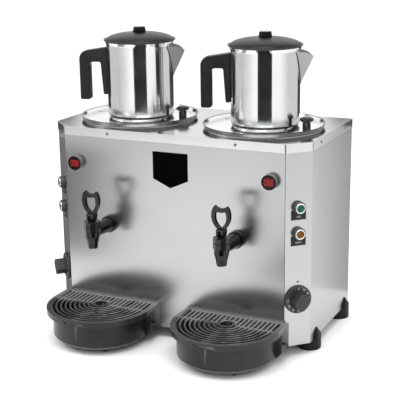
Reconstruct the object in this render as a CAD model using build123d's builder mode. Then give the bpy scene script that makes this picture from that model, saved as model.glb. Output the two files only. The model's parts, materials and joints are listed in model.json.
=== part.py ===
from build123d import *
import os
from math import cos, radians, sin, tan

# Twin countertop tea boiler, in millimetres. The origin is on the counter, under the middle of the
# whole appliance. +X is to the right of someone facing the taps, -Y is towards them and +Z is up.

# Cabinet of bent stainless sheet, built round two tanks
cabinet_height = 431.0
side_room = 22.0
depth_room = 24.0
unit_gap = 44.0
corner_leg = 43.0
corner_turn = 45.0
sheet = 1.2
return_flange = 14.0
seam_gap = 0.8
cover_flange = 19.0
cover_slit = 2.0

# Clearances and the overrun of cuts
overrun = 5.0
hole_gap = 0.3
seat_gap = 0.3
running_gap = 0.06

# Corner feet
foot_height = 25.0
foot_radius = 25.0
foot_inset = 16.0
foot_front_setback = 82.0
foot_rear_setback = 28.0
foot_ear_height = 23.0
foot_ear_half_width = 15.0
foot_ear_tip = 1.5

# Shield-shaped badge plate on the front
badge_width = 81.0
badge_drop = 38.5
badge_side_height = 58.5
badge_point_height = 18.0
badge_thickness = 1.5

# Boiler tanks
tank_radius = 122.0
tank_flange_width = 6.0
tank_sump_height = 30.0
tank_boss_radius = 16.0

# Immersion heaters
heater_height = 34.0
heater_rod_radius = 4.5
heater_half_span = 9.0
heater_reach = 190.0
heater_plug_radius = 15.5
heater_boss_radius = 19.0
heater_boss_length = 12.0
heater_head_radius = 21.0
heater_head_length = 9.0

# Thermostats and their dials on the slanted front corners
dial_height = 102.0
dial_radius = 30.0
dial_thickness = 5.0
dial_bevel = 1.5
grip_radius = 17.5
grip_half_width = 12.5
grip_turn = 35.0
grip_height = 28.0
shaft_radius = 3.0
shaft_length = 40.0
bushing_radius = 5.0
bushing_proud = 3.5
bushing_recess_radius = 8.0
thermostat_room = 26.8
thermostat_depth = 24.0

# Signal lamps and the plates behind them
lamp_drop = 132.5
lamp_spacing = 54.5
lamp_radius = 13.0
lamp_proud = 8.0
lamp_rim = 3.0
lamp_barrel_radius = 10.0
lamp_barrel_depth = 26.0
lens_crown = 3.0
lens_taper = 45.0
lens_depth = 5.0
label_width = 33.0
label_top_drop = 6.0
label_drop = 26.0
label_thickness = 0.8

# Digital thermometers
thermometer_inset = 31.0
thermometer_drop = 78.0
thermometer_radius = 16.0
thermometer_proud = 14.0
thermometer_rim = 3.0
thermometer_barrel_radius = 13.5
thermometer_barrel_depth = 30.0
window_recess = 3.0
window_thickness = 2.0

# Lever taps, with heights taken from the axis of the shank
tap_height = 222.0
tap_reach = 75.0
shank_radius = 10.0
shank_bore_radius = 6.0
shank_end_length = 6.0
washer_thickness = 2.0
tap_flange_radius = 18.5
tap_flange_thickness = 7.0
neck_root_radius = 16.0
neck_tip_radius = 11.0
tap_barrel_radius = 15.5
collar_radius = 17.8
collar_facets = 10
collar_bottom_rise = 3.0
collar_top_rise = 14.0
collar_groove = 1.2
bonnet_top_rise = 25.5
spout_shoulder_drop = 8.0
spout_waist_drop = 22.0
spout_waist_radius = 11.8
spout_tip_drop = 33.0
spout_tip_radius = 10.3
spout_bore_radius = 7.0
spout_rib_width = 3.0
spout_rib_proud = 1.0
chamber_radius = 10.5
valve_seat_drop = 8.0
valve_seat_radius = 6.0
valve_seat_length = 10.0

# Tap stem and lever
stem_radius = 3.5
stem_tongue = 4.6
valve_cup_radius = 9.0
valve_cup_height = 8.0
lever_lift = 4.0
lever_round = 10.5
lever_width = 15.5
lever_slot = 5.6
lever_rise = 7.0
pin_radius = 2.0
loop_height = 48.0
loop_half_width = 20.5
loop_thickness = 8.0
loop_outer_shares = [(0.37, 0.0), (0.98, 0.46), (0.77, 0.94), (0.63, 1.0), (0.0, 0.88)]
loop_inner_shares = [(0.0, 0.05), (0.60, 0.47), (0.48, 0.755), (0.0, 0.715)]

# Drip trays, with heights taken from the counter
tray_radius = 117.0
drain_setout = 54.0
tray_top = 80.0
tray_lip = 12.0
tray_overhang = 13.0
tray_bottom = 8.0
tray_wall = 2.5
tray_bottom_bevel = 12.0
tray_wing_depth = 38.0
tray_wing_bottom = 12.0
tray_wing_cut = 16.0
tray_notch_depth = 4.0
tray_notch_rise = 24.0
tray_notch_height = 5.0
tray_notch_run = 16.0
tray_notch_drop = 7.0
tray_recess_width = 46.0
tray_recess_height = 8.0
tray_recess_depth = 6.0
tray_foot_radius = 6.0
tray_foot_inset = 30.0
tray_foot_angles = (-125.0, -55.0, 15.0, 165.0)

# Drip grilles
grille_inset = 9.0
grille_thickness = 6.0
grille_below_rim = 1.0
drain_radius = 13.0
drain_ring_width = 3.5
drain_ring_proud = 1.0
slot_pitch = 10.0
slot_width = 6.2
slot_start_radius = 18.0
back_slot_count = 3
rib_width = 3.0
grille_rim = 3.0
grille_border = 6.0

# Boiler lids
lid_overhang = 3.0
lid_rim_splay = 4.0
lid_rim_height = 9.0
lid_spigot_gap = 2.3
lid_spigot_depth = 8.0
seat_overlap = 15.0
seat_ring_width = 9.0
seat_ring_height = 2.8
vent_radius = 5.0
outer_vent_inset = 11.0
outer_vent_angle = 161.0
inner_vent_gap = 14.0
inner_vent_angle = -27.0
lid_turns = {"left": 10.0, "right": -5.0}

# Mushroom knobs of the boiler lids
lid_knob_inset = 27.0
lid_knob_radius = 15.0
lid_knob_stem_radius = 8.5
lid_knob_height = 27.0
lid_knob_head = 12.0
lid_knob_shares = [(1.0, 0.4), (0.95, 0.7), (0.6, 0.95), (0.0, 1.0)]

# Teapots
pot_knob_gap = 11.0
pot_height = 165.0
pot_setback = 7.0
pot_turn = 15.0
pot_wall = 1.0
pot_base_thickness = 5.0
pot_base_bevel = 3.0
pot_flare = 2.2
pot_flare_height = 9.0
beak_length = 28.0
beak_tip_drop = 11.5
beak_height = 70.0
beak_half_width = 26.0
beak_root_share = 0.8
beak_leaf = 1.5
beak_arch = 3.0
weld_gap = 0.1

# Teapot handles
handle_width = 24.0
handle_standoff = 64.0
handle_drop = 14.0
handle_slope_drop = 10.0
handle_bridge_depth = 33.0
grip_thickness = 23.0
grip_bottom = 33.0
handle_arm_top_thickness = 15.0
handle_arm_bottom_thickness = 10.0
handle_arm_bottom = 45.0
handle_outer_round = 20.0
handle_inner_round = 8.0
handle_edge_round = 4.0

# Teapot lids
brim_overhang = 3.3
brim_width = 4.5
brim_thickness = 3.0
brim_upturn = 1.8
dome_height = 20.0
dome_round_share = 0.552
dome_wall = 2.5
lid_skirt_depth = 7.0
lid_skirt_gap = 0.6
pot_knob_base_radius = 14.5
pot_knob_top_radius = 12.5
pot_knob_height = 11.0

# Cable gland at the back
gland_inset = 100.0
gland_height = 60.0
gland_reach = 22.0
gland_bore_radius = 4.5
gland_barrel_radius = 8.0
gland_hex_radius = 13.0
gland_hex_length = 6.0
gland_cap_radius = 11.0
gland_cap_tip_radius = 8.5
gland_inside_length = 10.0
gland_nut_length = 4.0

# Terminal block on the base plate
terminal_length = 72.0
terminal_depth = 24.0
terminal_height = 20.0
terminal_ways = 5
terminal_slot_width = 9.0
terminal_slot_depth = 8.0
terminal_setback = 60.0

# Sizes, levels and planes that follow from those above
tank_flange_radius = tank_radius + tank_flange_width
unit_offset = tank_flange_radius + unit_gap / 2
half_width = unit_offset + tank_flange_radius + side_room
cabinet_depth = (tank_flange_radius + depth_room) * 2
cover_top = foot_height + cabinet_height
front_reach = drain_setout + tray_radius
mid_y = (front_reach - gland_reach) / 2
front_y = mid_y - cabinet_depth / 2
back_y = mid_y + cabinet_depth / 2
panel_front = front_y + sheet
panel_back = back_y - sheet
panel_bottom = foot_height + sheet
panel_top = cover_top - sheet
panel_height = panel_top - panel_bottom
corner_shift_share = tan(radians(corner_turn / 2))
front_corner_x = half_width - corner_leg - sheet * corner_shift_share
side_corner_y = front_y + corner_leg + sheet * corner_shift_share
side_face = half_width - sheet
corner_width = corner_leg / cos(radians(corner_turn))
thermometer_x = half_width - corner_leg - thermometer_inset
thermometer_z = cover_top - thermometer_drop
green_lamp_z = cover_top - lamp_drop
amber_lamp_z = green_lamp_z - lamp_spacing
dial_z = foot_height + dial_height
tap_z = foot_height + tap_height
tank_bottom = tap_z - tank_sump_height
heater_z = tank_bottom + heater_height
tap_y = panel_front - tap_reach
bonnet_top = tap_z + bonnet_top_rise
pivot_z = bonnet_top + seat_gap + lever_round
drain_y = panel_front - drain_setout
tray_back = panel_front - seat_gap
tray_bowl_radius = tray_radius - tray_overhang
grille_radius = tray_radius - grille_inset
grille_top = tray_top - grille_below_rim
grille_bottom = grille_top - grille_thickness
ledge = grille_bottom - seat_gap
lid_base = cover_top + sheet
lid_floor = lid_base + sheet
lid_radius = tank_flange_radius + lid_overhang
lid_floor_radius = lid_radius - lid_rim_splay
lid_spigot_radius = tank_radius - sheet - lid_spigot_gap
lid_knob_offset = lid_floor_radius - lid_knob_inset
pot_radius = lid_knob_offset - lid_knob_radius - pot_knob_gap
pot_base_radius = pot_radius - pot_base_bevel
steam_opening_radius = pot_base_radius - seat_overlap
pot_base = lid_floor + seat_ring_height + seat_gap
gland_x = half_width - gland_inset
units = {"left": -unit_offset, "right": unit_offset}


def plan_points(inset):
    """Corners of the cabinet's plan, drawn in from its outside by a distance."""
    front_x = half_width - corner_leg - inset * corner_shift_share
    corner_y = front_y + corner_leg + inset * corner_shift_share
    side_x = half_width - inset
    right = [(front_x, front_y + inset), (side_x, corner_y), (side_x, back_y - inset)]
    left = [(-x, y) for x, y in reversed(right)]
    return right + left


def front_plane(x, z, y=panel_front):
    """A plane facing the user, with its own Y upwards."""
    return Plane(origin=(x, y, z), x_dir=(1, 0, 0), z_dir=(0, -1, 0))


def back_plane(x, z, y=panel_back):
    """A plane facing away from the user, with its own Y upwards."""
    return Plane(origin=(x, y, z), x_dir=(-1, 0, 0), z_dir=(0, 1, 0))


def corner_plane(z):
    """A plane on the outside of the right slanted corner, with its own Y upwards."""
    middle_x = (front_corner_x + side_face) / 2
    middle_y = (panel_front + side_corner_y) / 2
    lean = radians(corner_turn)
    return Plane(
        origin=(middle_x, middle_y, z),
        x_dir=(cos(lean), sin(lean), 0),
        z_dir=(sin(lean), -cos(lean), 0),
    )


def dome_arc(radius, base, rise):
    """Half of a round-shouldered dome: a quarter ellipse from its edge up to the axis."""
    pull_up = base + rise * dome_round_share
    pull_in = radius * dome_round_share
    return Bezier((radius, base), (radius, pull_up), (pull_in, base + rise), (0, base + rise))


def scaled(shares, width, height):
    """Points of an outline from their shares of a width and a height."""
    return [(x * width, y * height) for x, y in shares]


def write_node(part, name):
    """Label one finished piece and write it."""
    part.label = name
    export_step(part, f"parts/{name}.step")


def write_units(part, name):
    """Write a piece of each boiler unit, from the one made on the mid plane."""
    for side, x in units.items():
        write_node(part.moved(Location((x, 0, 0))), f"{name}_{side}")


def write_corners(part, name):
    """Write a piece of the right corner and its mirror image on the left."""
    write_node(part, f"{name}_right")
    write_node(mirror(part, about=Plane.YZ), f"{name}_left")


def write_pots(part, name):
    """Write a piece of each teapot, from the one made about its own base."""
    for side, x in units.items():
        place = Location((x, mid_y + pot_setback, pot_base), (0, 0, pot_turn))
        write_node(part.moved(place), f"{name}_{side}")


def write_lids(part, name):
    """Write a piece of each boiler lid, from the one made about its own axis."""
    for side, x in units.items():
        place = Location((x, mid_y, lid_base), (0, 0, lid_turns[side]))
        write_node(part.moved(place), f"{name}_{side}")


os.makedirs("parts", exist_ok=True)

# Base plate, which the panels stand on
with BuildPart() as base_plate:
    with BuildSketch(Plane.XY.offset(foot_height)):
        Polygon(*plan_points(sheet), align=None)
    extrude(amount=sheet)
write_node(base_plate.part, "base_plate")

# Front panel, bent back along both upright edges
with BuildPart() as front_panel:
    front_edge = front_corner_x - seam_gap / 2
    with BuildSketch(Plane.XY.offset(panel_bottom)):
        with BuildLine():
            Polyline(
                (-front_edge, panel_front + return_flange),
                (-front_edge, panel_front),
                (front_edge, panel_front),
                (front_edge, panel_front + return_flange),
            )
            offset(amount=sheet, side=Side.LEFT, kind=Kind.INTERSECTION)
        make_face()
    extrude(amount=panel_height)
    with Locations(*(front_plane(x, tap_z) for x in units.values())):
        Hole(radius=shank_radius + hole_gap, depth=sheet + overrun)
    with Locations(*(front_plane(x, thermometer_z) for x in (-thermometer_x, thermometer_x))):
        Hole(radius=thermometer_barrel_radius + hole_gap, depth=sheet + overrun)
write_node(front_panel.part, "front_panel")

# Side panel, one sheet with the slanted corner and a flange at each end
with BuildPart() as side_panel:
    seam_x = front_corner_x + seam_gap / 2
    seam_y = panel_front + seam_gap / 2
    with BuildSketch(Plane.XY.offset(panel_bottom)):
        with BuildLine():
            Polyline(
                (seam_x, panel_front + return_flange),
                (seam_x, seam_y),
                (side_face, side_corner_y),
                (side_face, panel_back - sheet),
                (side_face - return_flange, panel_back - sheet),
            )
            offset(amount=sheet, side=Side.LEFT, kind=Kind.INTERSECTION)
        make_face()
    extrude(amount=panel_height)
    with Locations(corner_plane(green_lamp_z), corner_plane(amber_lamp_z)):
        Hole(radius=lamp_barrel_radius + hole_gap, depth=sheet + overrun)
    with Locations(corner_plane(dial_z)):
        Hole(radius=bushing_radius + hole_gap, depth=sheet + overrun)
write_corners(side_panel.part, "side_panel")

# Back panel, flat, with the hole for the cable gland
with BuildPart() as back_panel:
    with BuildSketch(back_plane(0, panel_bottom)):
        Rectangle(side_face * 2, panel_height, align=(Align.CENTER, Align.MIN))
    extrude(amount=-sheet)
    with Locations(back_plane(gland_x, foot_height + gland_height)):
        Hole(radius=gland_barrel_radius + hole_gap, depth=sheet + overrun)
write_node(back_panel.part, "back_panel")

# Top cover with a flange bent down all round, slit at its corners
with BuildPart() as top_cover:
    with BuildSketch(Plane.XY.offset(cover_top)):
        Polygon(*plan_points(0), align=None)
    extrude(amount=-cover_flange)
    with BuildSketch(Plane.XY.offset(cover_top - cover_flange)):
        Polygon(*plan_points(sheet), align=None)
    extrude(amount=cover_flange - sheet, mode=Mode.SUBTRACT)
    with BuildSketch(Plane.XY.offset(cover_top)):
        with Locations(*((x, mid_y) for x in units.values())):
            Circle(tank_radius + hole_gap)
    extrude(amount=-cover_flange, mode=Mode.SUBTRACT)
    slit_angles = [-corner_turn * 1.5, -corner_turn * 0.5, corner_turn]
    slit_angles += [180 - angle for angle in reversed(slit_angles)]
    with BuildSketch(Plane.XY.offset(cover_top - cover_flange)):
        for corner, angle in zip(plan_points(sheet), slit_angles):
            with Locations(Location((*corner, 0), (0, 0, angle))):
                Rectangle(return_flange, cover_slit)
    extrude(amount=cover_flange - sheet, mode=Mode.SUBTRACT)
write_node(top_cover.part, "top_cover")

# Moulded foot: a round pad under the cabinet, with a pointed ear up the outside of the side panel
with BuildPart() as foot:
    with BuildSketch(Plane.YZ):
        Polygon(
            (-foot_radius, 0),
            (foot_radius, 0),
            (foot_radius, foot_height),
            (foot_ear_half_width, foot_height),
            (0, foot_height + foot_ear_height),
            (-foot_ear_half_width, foot_height),
            (-foot_radius, foot_height),
            align=None,
        )
    extrude(amount=foot_radius, both=True)
    with BuildSketch():
        Circle(foot_radius)
    extrude(amount=foot_height + foot_ear_height, mode=Mode.INTERSECT)
    with BuildSketch(Plane.XY.offset(foot_height)):
        with Locations((foot_inset - sheet, 0)):
            Rectangle(foot_radius * 2, foot_radius * 2, align=(Align.MAX, Align.CENTER))
    extrude(amount=foot_ear_height, mode=Mode.SUBTRACT)
    with BuildSketch(Plane.XZ):
        Polygon(
            (foot_inset - sheet + foot_ear_tip, foot_height + foot_ear_height),
            (foot_radius, foot_height),
            (foot_radius, foot_height + foot_ear_height),
            align=None,
        )
    extrude(amount=foot_radius, both=True, mode=Mode.SUBTRACT)

with BuildPart() as feet:
    foot_x = half_width - foot_inset
    for foot_y in (front_y + foot_front_setback, back_y - foot_rear_setback):
        with Locations((foot_x, foot_y, 0), Location((-foot_x, foot_y, 0), (0, 0, 180))):
            add(foot.part)
write_node(feet.part, "feet")

# Badge plate, a bare shield
with BuildPart() as badge_plate:
    with BuildSketch(front_plane(0, cover_top - badge_drop)):
        Polygon(
            (-badge_width / 2, 0),
            (-badge_width / 2, -badge_side_height),
            (0, -badge_side_height - badge_point_height),
            (badge_width / 2, -badge_side_height),
            (badge_width / 2, 0),
            align=None,
        )
    extrude(amount=badge_thickness)
write_node(badge_plate.part, "badge_plate")

# Boiler tank: a drawn pot hung by its flange on the cover, with a boss for the tap and one for the heater
with BuildPart() as tank:
    heater_boss_end = mid_y + tank_radius + heater_boss_length
    with BuildSketch(Plane.XY.offset(tank_bottom)):
        with Locations((0, mid_y)):
            Circle(tank_radius)
    extrude(amount=cover_top - tank_bottom)
    with BuildSketch(Plane.XY.offset(cover_top)):
        with Locations((0, mid_y)):
            Circle(tank_flange_radius)
    extrude(amount=sheet)
    with BuildSketch(front_plane(0, tap_z, mid_y)):
        Circle(tank_boss_radius)
    extrude(amount=mid_y - panel_front - sheet)
    with BuildSketch(back_plane(0, heater_z, mid_y)):
        Circle(heater_boss_radius)
    extrude(amount=heater_boss_end - mid_y)
    with BuildSketch(Plane.XY.offset(tank_bottom + sheet)):
        with Locations((0, mid_y)):
            Circle(tank_radius - sheet)
    extrude(amount=lid_base - tank_bottom - sheet, mode=Mode.SUBTRACT)
    with BuildSketch(front_plane(0, tap_z, mid_y)):
        Circle(shank_radius + hole_gap)
    extrude(amount=mid_y - panel_front, mode=Mode.SUBTRACT)
    with BuildSketch(back_plane(0, heater_z, mid_y)):
        Circle(heater_plug_radius + hole_gap)
    extrude(amount=heater_boss_end - mid_y, mode=Mode.SUBTRACT)
write_units(tank.part, "tank")

# Immersion heater: a hairpin rod brazed into a hexagonal plug
with BuildPart() as heater:
    plug_tip_y = mid_y + tank_radius - sheet
    turn_y = heater_boss_end - heater_reach
    with BuildSketch(back_plane(0, heater_z, plug_tip_y)):
        Circle(heater_plug_radius)
    extrude(amount=heater_boss_end - plug_tip_y)
    with BuildSketch(back_plane(0, heater_z, heater_boss_end)):
        RegularPolygon(heater_head_radius, 6)
    extrude(amount=heater_head_length)
    with BuildLine(Plane.XY.offset(heater_z)):
        Line((-heater_half_span, plug_tip_y), (-heater_half_span, turn_y))
        ThreePointArc(
            (-heater_half_span, turn_y),
            (0, turn_y - heater_half_span),
            (heater_half_span, turn_y),
        )
        Line((heater_half_span, turn_y), (heater_half_span, plug_tip_y))
    with BuildSketch(back_plane(-heater_half_span, heater_z, plug_tip_y)):
        Circle(heater_rod_radius)
    sweep()
write_units(heater.part, "heater")

# Thermostat body behind the slanted corner, with its threaded bushing through the sheet
with BuildPart() as thermostat:
    dial_plane = corner_plane(dial_z)
    thermostat_side = corner_width - thermostat_room
    with BuildSketch(dial_plane.offset(-sheet)):
        Rectangle(thermostat_side, thermostat_side)
    extrude(amount=-thermostat_depth)
    with BuildSketch(dial_plane.offset(-sheet)):
        Circle(bushing_radius)
    extrude(amount=sheet + bushing_proud)
    with BuildSketch(dial_plane.offset(bushing_proud)):
        Circle(shaft_radius + running_gap)
    extrude(amount=-shaft_length, mode=Mode.SUBTRACT)
write_corners(thermostat.part, "thermostat")

# Thermostat shaft, which turns with the dial
with BuildPart() as thermostat_shaft:
    shaft_top = (bushing_proud + grip_height) / 2
    with BuildSketch(dial_plane.offset(shaft_top)):
        Circle(shaft_radius)
    extrude(amount=seat_gap - thermostat_depth - shaft_top)
write_corners(thermostat_shaft.part, "thermostat_shaft")

# Dial: a round skirt with a flat-sided grip
with BuildPart() as dial:
    with BuildSketch(dial_plane.offset(seat_gap)):
        Circle(dial_radius)
    extrude(amount=dial_thickness)
    outward = Axis(dial_plane.origin, dial_plane.z_dir)
    chamfer(dial.edges().filter_by(GeomType.CIRCLE).sort_by(outward)[-1], dial_bevel)
    with BuildSketch(dial_plane.offset(seat_gap + dial_thickness)):
        Circle(grip_radius)
        Rectangle(grip_half_width * 2, grip_radius * 2, rotation=-grip_turn, mode=Mode.INTERSECT)
    extrude(amount=grip_height - dial_thickness - seat_gap)
    with BuildSketch(dial_plane):
        Circle(bushing_recess_radius)
    extrude(amount=bushing_proud + seat_gap, mode=Mode.SUBTRACT)
    with BuildSketch(dial_plane):
        Circle(shaft_radius + running_gap)
    extrude(amount=shaft_top + seat_gap, mode=Mode.SUBTRACT)
write_corners(dial.part, "dial")

# Plates behind the signal lamps
lamp_levels = {"green": green_lamp_z, "amber": amber_lamp_z}
with BuildPart() as corner_labels:
    for lamp_z in lamp_levels.values():
        with BuildSketch(corner_plane(lamp_z)):
            Circle(lamp_radius)
            with Locations((0, -label_top_drop)):
                Rectangle(label_width, label_drop - label_top_drop, align=(Align.CENTER, Align.MAX))
            Circle(lamp_barrel_radius + hole_gap, mode=Mode.SUBTRACT)
        extrude(amount=label_thickness)
with BuildPart() as lamp_labels:
    add(corner_labels.part)
    mirror(about=Plane.YZ)
write_node(lamp_labels.part, "lamp_labels")

# Lamp bezels with their barrels through the sheet
with BuildPart() as lamp_bezels:
    for lamp_z in lamp_levels.values():
        lamp_plane = corner_plane(lamp_z).offset(label_thickness)
        with BuildSketch(lamp_plane):
            Circle(lamp_radius)
        extrude(amount=lamp_proud)
        with BuildSketch(lamp_plane):
            Circle(lamp_barrel_radius)
        extrude(amount=-lamp_barrel_depth)
        with BuildSketch(lamp_plane.offset(lamp_proud)):
            Circle(lamp_radius - lamp_rim + seat_gap)
        extrude(amount=-lens_depth, mode=Mode.SUBTRACT)
write_corners(lamp_bezels.part, "lamp_bezels")

# Bevelled lenses of the signal lamps
for colour, lamp_z in lamp_levels.items():
    lens_plane = corner_plane(lamp_z).offset(label_thickness + lamp_proud)
    lens_radius = lamp_radius - lamp_rim
    with BuildPart() as lens:
        with BuildSketch(lens_plane):
            Circle(lens_radius)
        extrude(amount=-lens_depth)
        with BuildSketch(lens_plane):
            Circle(lens_radius)
        extrude(amount=lens_crown, taper=lens_taper)
    write_corners(lens.part, f"{colour}_lens")

# Digital thermometers: a stepped housing through the front and a dark window
thermometer_plane = front_plane(thermometer_x, thermometer_z)
with BuildPart() as thermometer_housing:
    with BuildSketch(thermometer_plane):
        Circle(thermometer_radius)
    extrude(amount=thermometer_proud)
    with BuildSketch(thermometer_plane):
        Circle(thermometer_barrel_radius)
    extrude(amount=-thermometer_barrel_depth)
    with BuildSketch(thermometer_plane.offset(thermometer_proud)):
        Circle(thermometer_radius - thermometer_rim)
    extrude(amount=-window_recess, mode=Mode.SUBTRACT)
write_corners(thermometer_housing.part, "thermometer_housing")

with BuildPart() as thermometer_window:
    with BuildSketch(thermometer_plane.offset(thermometer_proud - window_recess)):
        Circle(thermometer_radius - thermometer_rim - hole_gap)
    extrude(amount=window_thickness)
write_corners(thermometer_window.part, "thermometer_window")

# Washers between the taps and the front panel
with BuildPart() as tap_washers:
    with BuildSketch(front_plane(0, tap_z)):
        with Locations(*((x, 0) for x in units.values())):
            Circle(tap_flange_radius)
            Circle(shank_radius + hole_gap, mode=Mode.SUBTRACT)
    extrude(amount=washer_thickness)
write_node(tap_washers.part, "tap_washers")

# Tap body: shank, flange, tapering neck, upright barrel with a faceted collar, and spout
with BuildPart() as tap_body:
    shank_start_y = mid_y - tank_radius + shank_end_length
    flange_y = panel_front - washer_thickness
    tap_axis = Axis((0, tap_y, 0), (0, 0, 1))
    with BuildSketch(front_plane(0, tap_z, shank_start_y)):
        Circle(shank_radius)
    extrude(amount=shank_start_y - flange_y)
    with BuildSketch(front_plane(0, tap_z, flange_y)):
        Circle(tap_flange_radius)
    extrude(amount=tap_flange_thickness)
    with BuildSketch(front_plane(0, tap_z, flange_y - tap_flange_thickness)):
        Circle(neck_root_radius)
    with BuildSketch(front_plane(0, tap_z, tap_y)):
        Circle(neck_tip_radius)
    loft()
    with BuildSketch(Plane.YZ):
        Polygon(
            (tap_y, tap_z + collar_bottom_rise),
            (tap_y - tap_barrel_radius, tap_z + collar_bottom_rise),
            (tap_y - tap_barrel_radius, tap_z - spout_shoulder_drop),
            (tap_y - spout_waist_radius, tap_z - spout_waist_drop),
            (tap_y - spout_tip_radius, tap_z - spout_tip_drop),
            (tap_y, tap_z - spout_tip_drop),
            align=None,
        )
    revolve(axis=tap_axis)
    with BuildSketch(Plane.XY.offset(tap_z + collar_bottom_rise)):
        with Locations((0, tap_y)):
            RegularPolygon(collar_radius, collar_facets)
    extrude(amount=collar_top_rise - collar_bottom_rise)
    with BuildSketch(front_plane(0, tap_z, tap_y)):
        with Locations((0, -spout_tip_drop)):
            Rectangle(spout_rib_width, spout_tip_drop - spout_waist_drop, align=(Align.CENTER, Align.MIN))
    extrude(amount=spout_waist_radius + spout_rib_proud)
    with BuildSketch(Plane.YZ):
        Polygon(
            (tap_y, tap_z + collar_top_rise),
            (tap_y - chamber_radius, tap_z + collar_top_rise),
            (tap_y - chamber_radius, tap_z - valve_seat_drop),
            (tap_y - valve_seat_radius, tap_z - valve_seat_drop),
            (tap_y - valve_seat_radius, tap_z - valve_seat_drop - valve_seat_length),
            (tap_y - spout_bore_radius, tap_z - valve_seat_drop - valve_seat_length),
            (tap_y - spout_bore_radius, tap_z - spout_tip_drop),
            (tap_y, tap_z - spout_tip_drop),
            align=None,
        )
    revolve(axis=tap_axis, mode=Mode.SUBTRACT)
    with BuildSketch(front_plane(0, tap_z, shank_start_y)):
        Circle(shank_bore_radius)
    extrude(amount=shank_start_y - tap_y, mode=Mode.SUBTRACT)
write_units(tap_body.part, "tap_body")

# Faceted bonnet that closes the tap and guides its stem
with BuildPart() as tap_bonnet:
    bonnet_bottom = tap_z + collar_top_rise
    with BuildSketch(Plane.XY.offset(bonnet_bottom)):
        with Locations((0, tap_y)):
            Circle(tap_barrel_radius)
    extrude(amount=collar_groove)
    with BuildSketch(Plane.XY.offset(bonnet_bottom + collar_groove)):
        with Locations((0, tap_y)):
            RegularPolygon(collar_radius, collar_facets)
    extrude(amount=bonnet_top - bonnet_bottom - collar_groove)
    with BuildSketch(Plane.XY.offset(bonnet_top)):
        with Locations((0, tap_y)):
            Circle(stem_radius + running_gap)
    extrude(amount=bonnet_bottom - bonnet_top, mode=Mode.SUBTRACT)
write_units(tap_bonnet.part, "tap_bonnet")

# Stem with its rubber valve cup, and a flat tongue for the lever's pin
with BuildPart() as tap_stem:
    cup_bottom = tap_z - valve_seat_drop + seat_gap
    tongue_bottom = bonnet_top - lever_lift - stem_radius
    with BuildSketch(Plane.XY.offset(cup_bottom)):
        with Locations((0, tap_y)):
            Circle(valve_cup_radius)
    extrude(amount=valve_cup_height)
    with BuildSketch(Plane.XY.offset(cup_bottom)):
        with Locations((0, tap_y)):
            Circle(stem_radius)
    extrude(amount=pivot_z + stem_radius - cup_bottom)
    with BuildSketch(Plane.XY.offset(tongue_bottom)):
        with Locations((0, tap_y)):
            Circle(stem_radius + overrun)
            Rectangle(stem_tongue, (stem_radius + overrun) * 2, mode=Mode.SUBTRACT)
    extrude(amount=pivot_z + stem_radius - tongue_bottom, mode=Mode.SUBTRACT)
    with BuildSketch(Plane.YZ):
        with Locations((tap_y, pivot_z)):
            Rectangle(stem_radius * 4, stem_radius * 2, align=(Align.CENTER, Align.MIN))
            Circle(stem_radius, mode=Mode.SUBTRACT)
    extrude(amount=stem_radius, both=True, mode=Mode.SUBTRACT)
    with BuildSketch(Plane.YZ):
        with Locations((tap_y, pivot_z)):
            Circle(pin_radius + running_gap)
    extrude(amount=stem_radius, both=True, mode=Mode.SUBTRACT)
write_units(tap_stem.part, "tap_stem")

# Lever: a slotted block with a rounded foot and its pin, and the open tulip-shaped loop above it
with BuildPart() as tap_lever:
    block_top = pivot_z + lever_rise
    with BuildSketch(Plane.YZ):
        with Locations((tap_y, pivot_z)):
            Circle(lever_round)
            Rectangle(lever_round * 2, lever_rise, align=(Align.CENTER, Align.MIN))
        with Locations((tap_y, block_top)):
            Rectangle(lever_round * 2, lever_round, align=(Align.CENTER, Align.MIN), mode=Mode.SUBTRACT)
    extrude(amount=lever_width / 2, both=True)
    with BuildSketch(front_plane(0, pivot_z, tap_y)):
        with Locations((0, stem_radius + seat_gap)):
            Rectangle(lever_slot, lever_round * 2, align=(Align.CENTER, Align.MAX))
    extrude(amount=lever_round, both=True, mode=Mode.SUBTRACT)
    with BuildSketch(Plane.YZ):
        with Locations((tap_y, pivot_z)):
            Circle(pin_radius)
    extrude(amount=lever_width / 2, both=True)
    root, flank, shoulder, horn, dip = scaled(loop_outer_shares, loop_half_width, loop_height)
    cleft, inner_flank, inner_corner, inner_dip = scaled(loop_inner_shares, loop_half_width, loop_height)
    with BuildSketch(front_plane(0, block_top, tap_y)):
        with BuildLine():
            Line((0, 0), root)
            ThreePointArc(root, flank, shoulder)
            Line(shoulder, horn)
            ThreePointArc(horn, ((horn[0] + dip[0]) / 2, (horn[1] + dip[1] * 3) / 4), dip)
            mirror(about=Plane.YZ)
        make_face()
        with BuildLine():
            ThreePointArc(cleft, inner_flank, inner_corner)
            ThreePointArc(inner_corner, inner_dip, (-inner_corner[0], inner_corner[1]))
            ThreePointArc((-inner_corner[0], inner_corner[1]), (-inner_flank[0], inner_flank[1]), cleft)
        make_face(mode=Mode.SUBTRACT)
    extrude(amount=loop_thickness / 2, both=True)
write_units(tap_lever.part, "tap_lever")


def tray_outline(radius, back):
    """A half-round plan about the drain, with straight sides to the back."""
    with Locations((0, drain_y)):
        Circle(radius)
        Rectangle(radius * 2, back - drain_y, align=(Align.CENTER, Align.MIN))
    with Locations((0, back)):
        Rectangle(radius * 2, radius * 2, align=(Align.CENTER, Align.MIN), mode=Mode.SUBTRACT)


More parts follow.
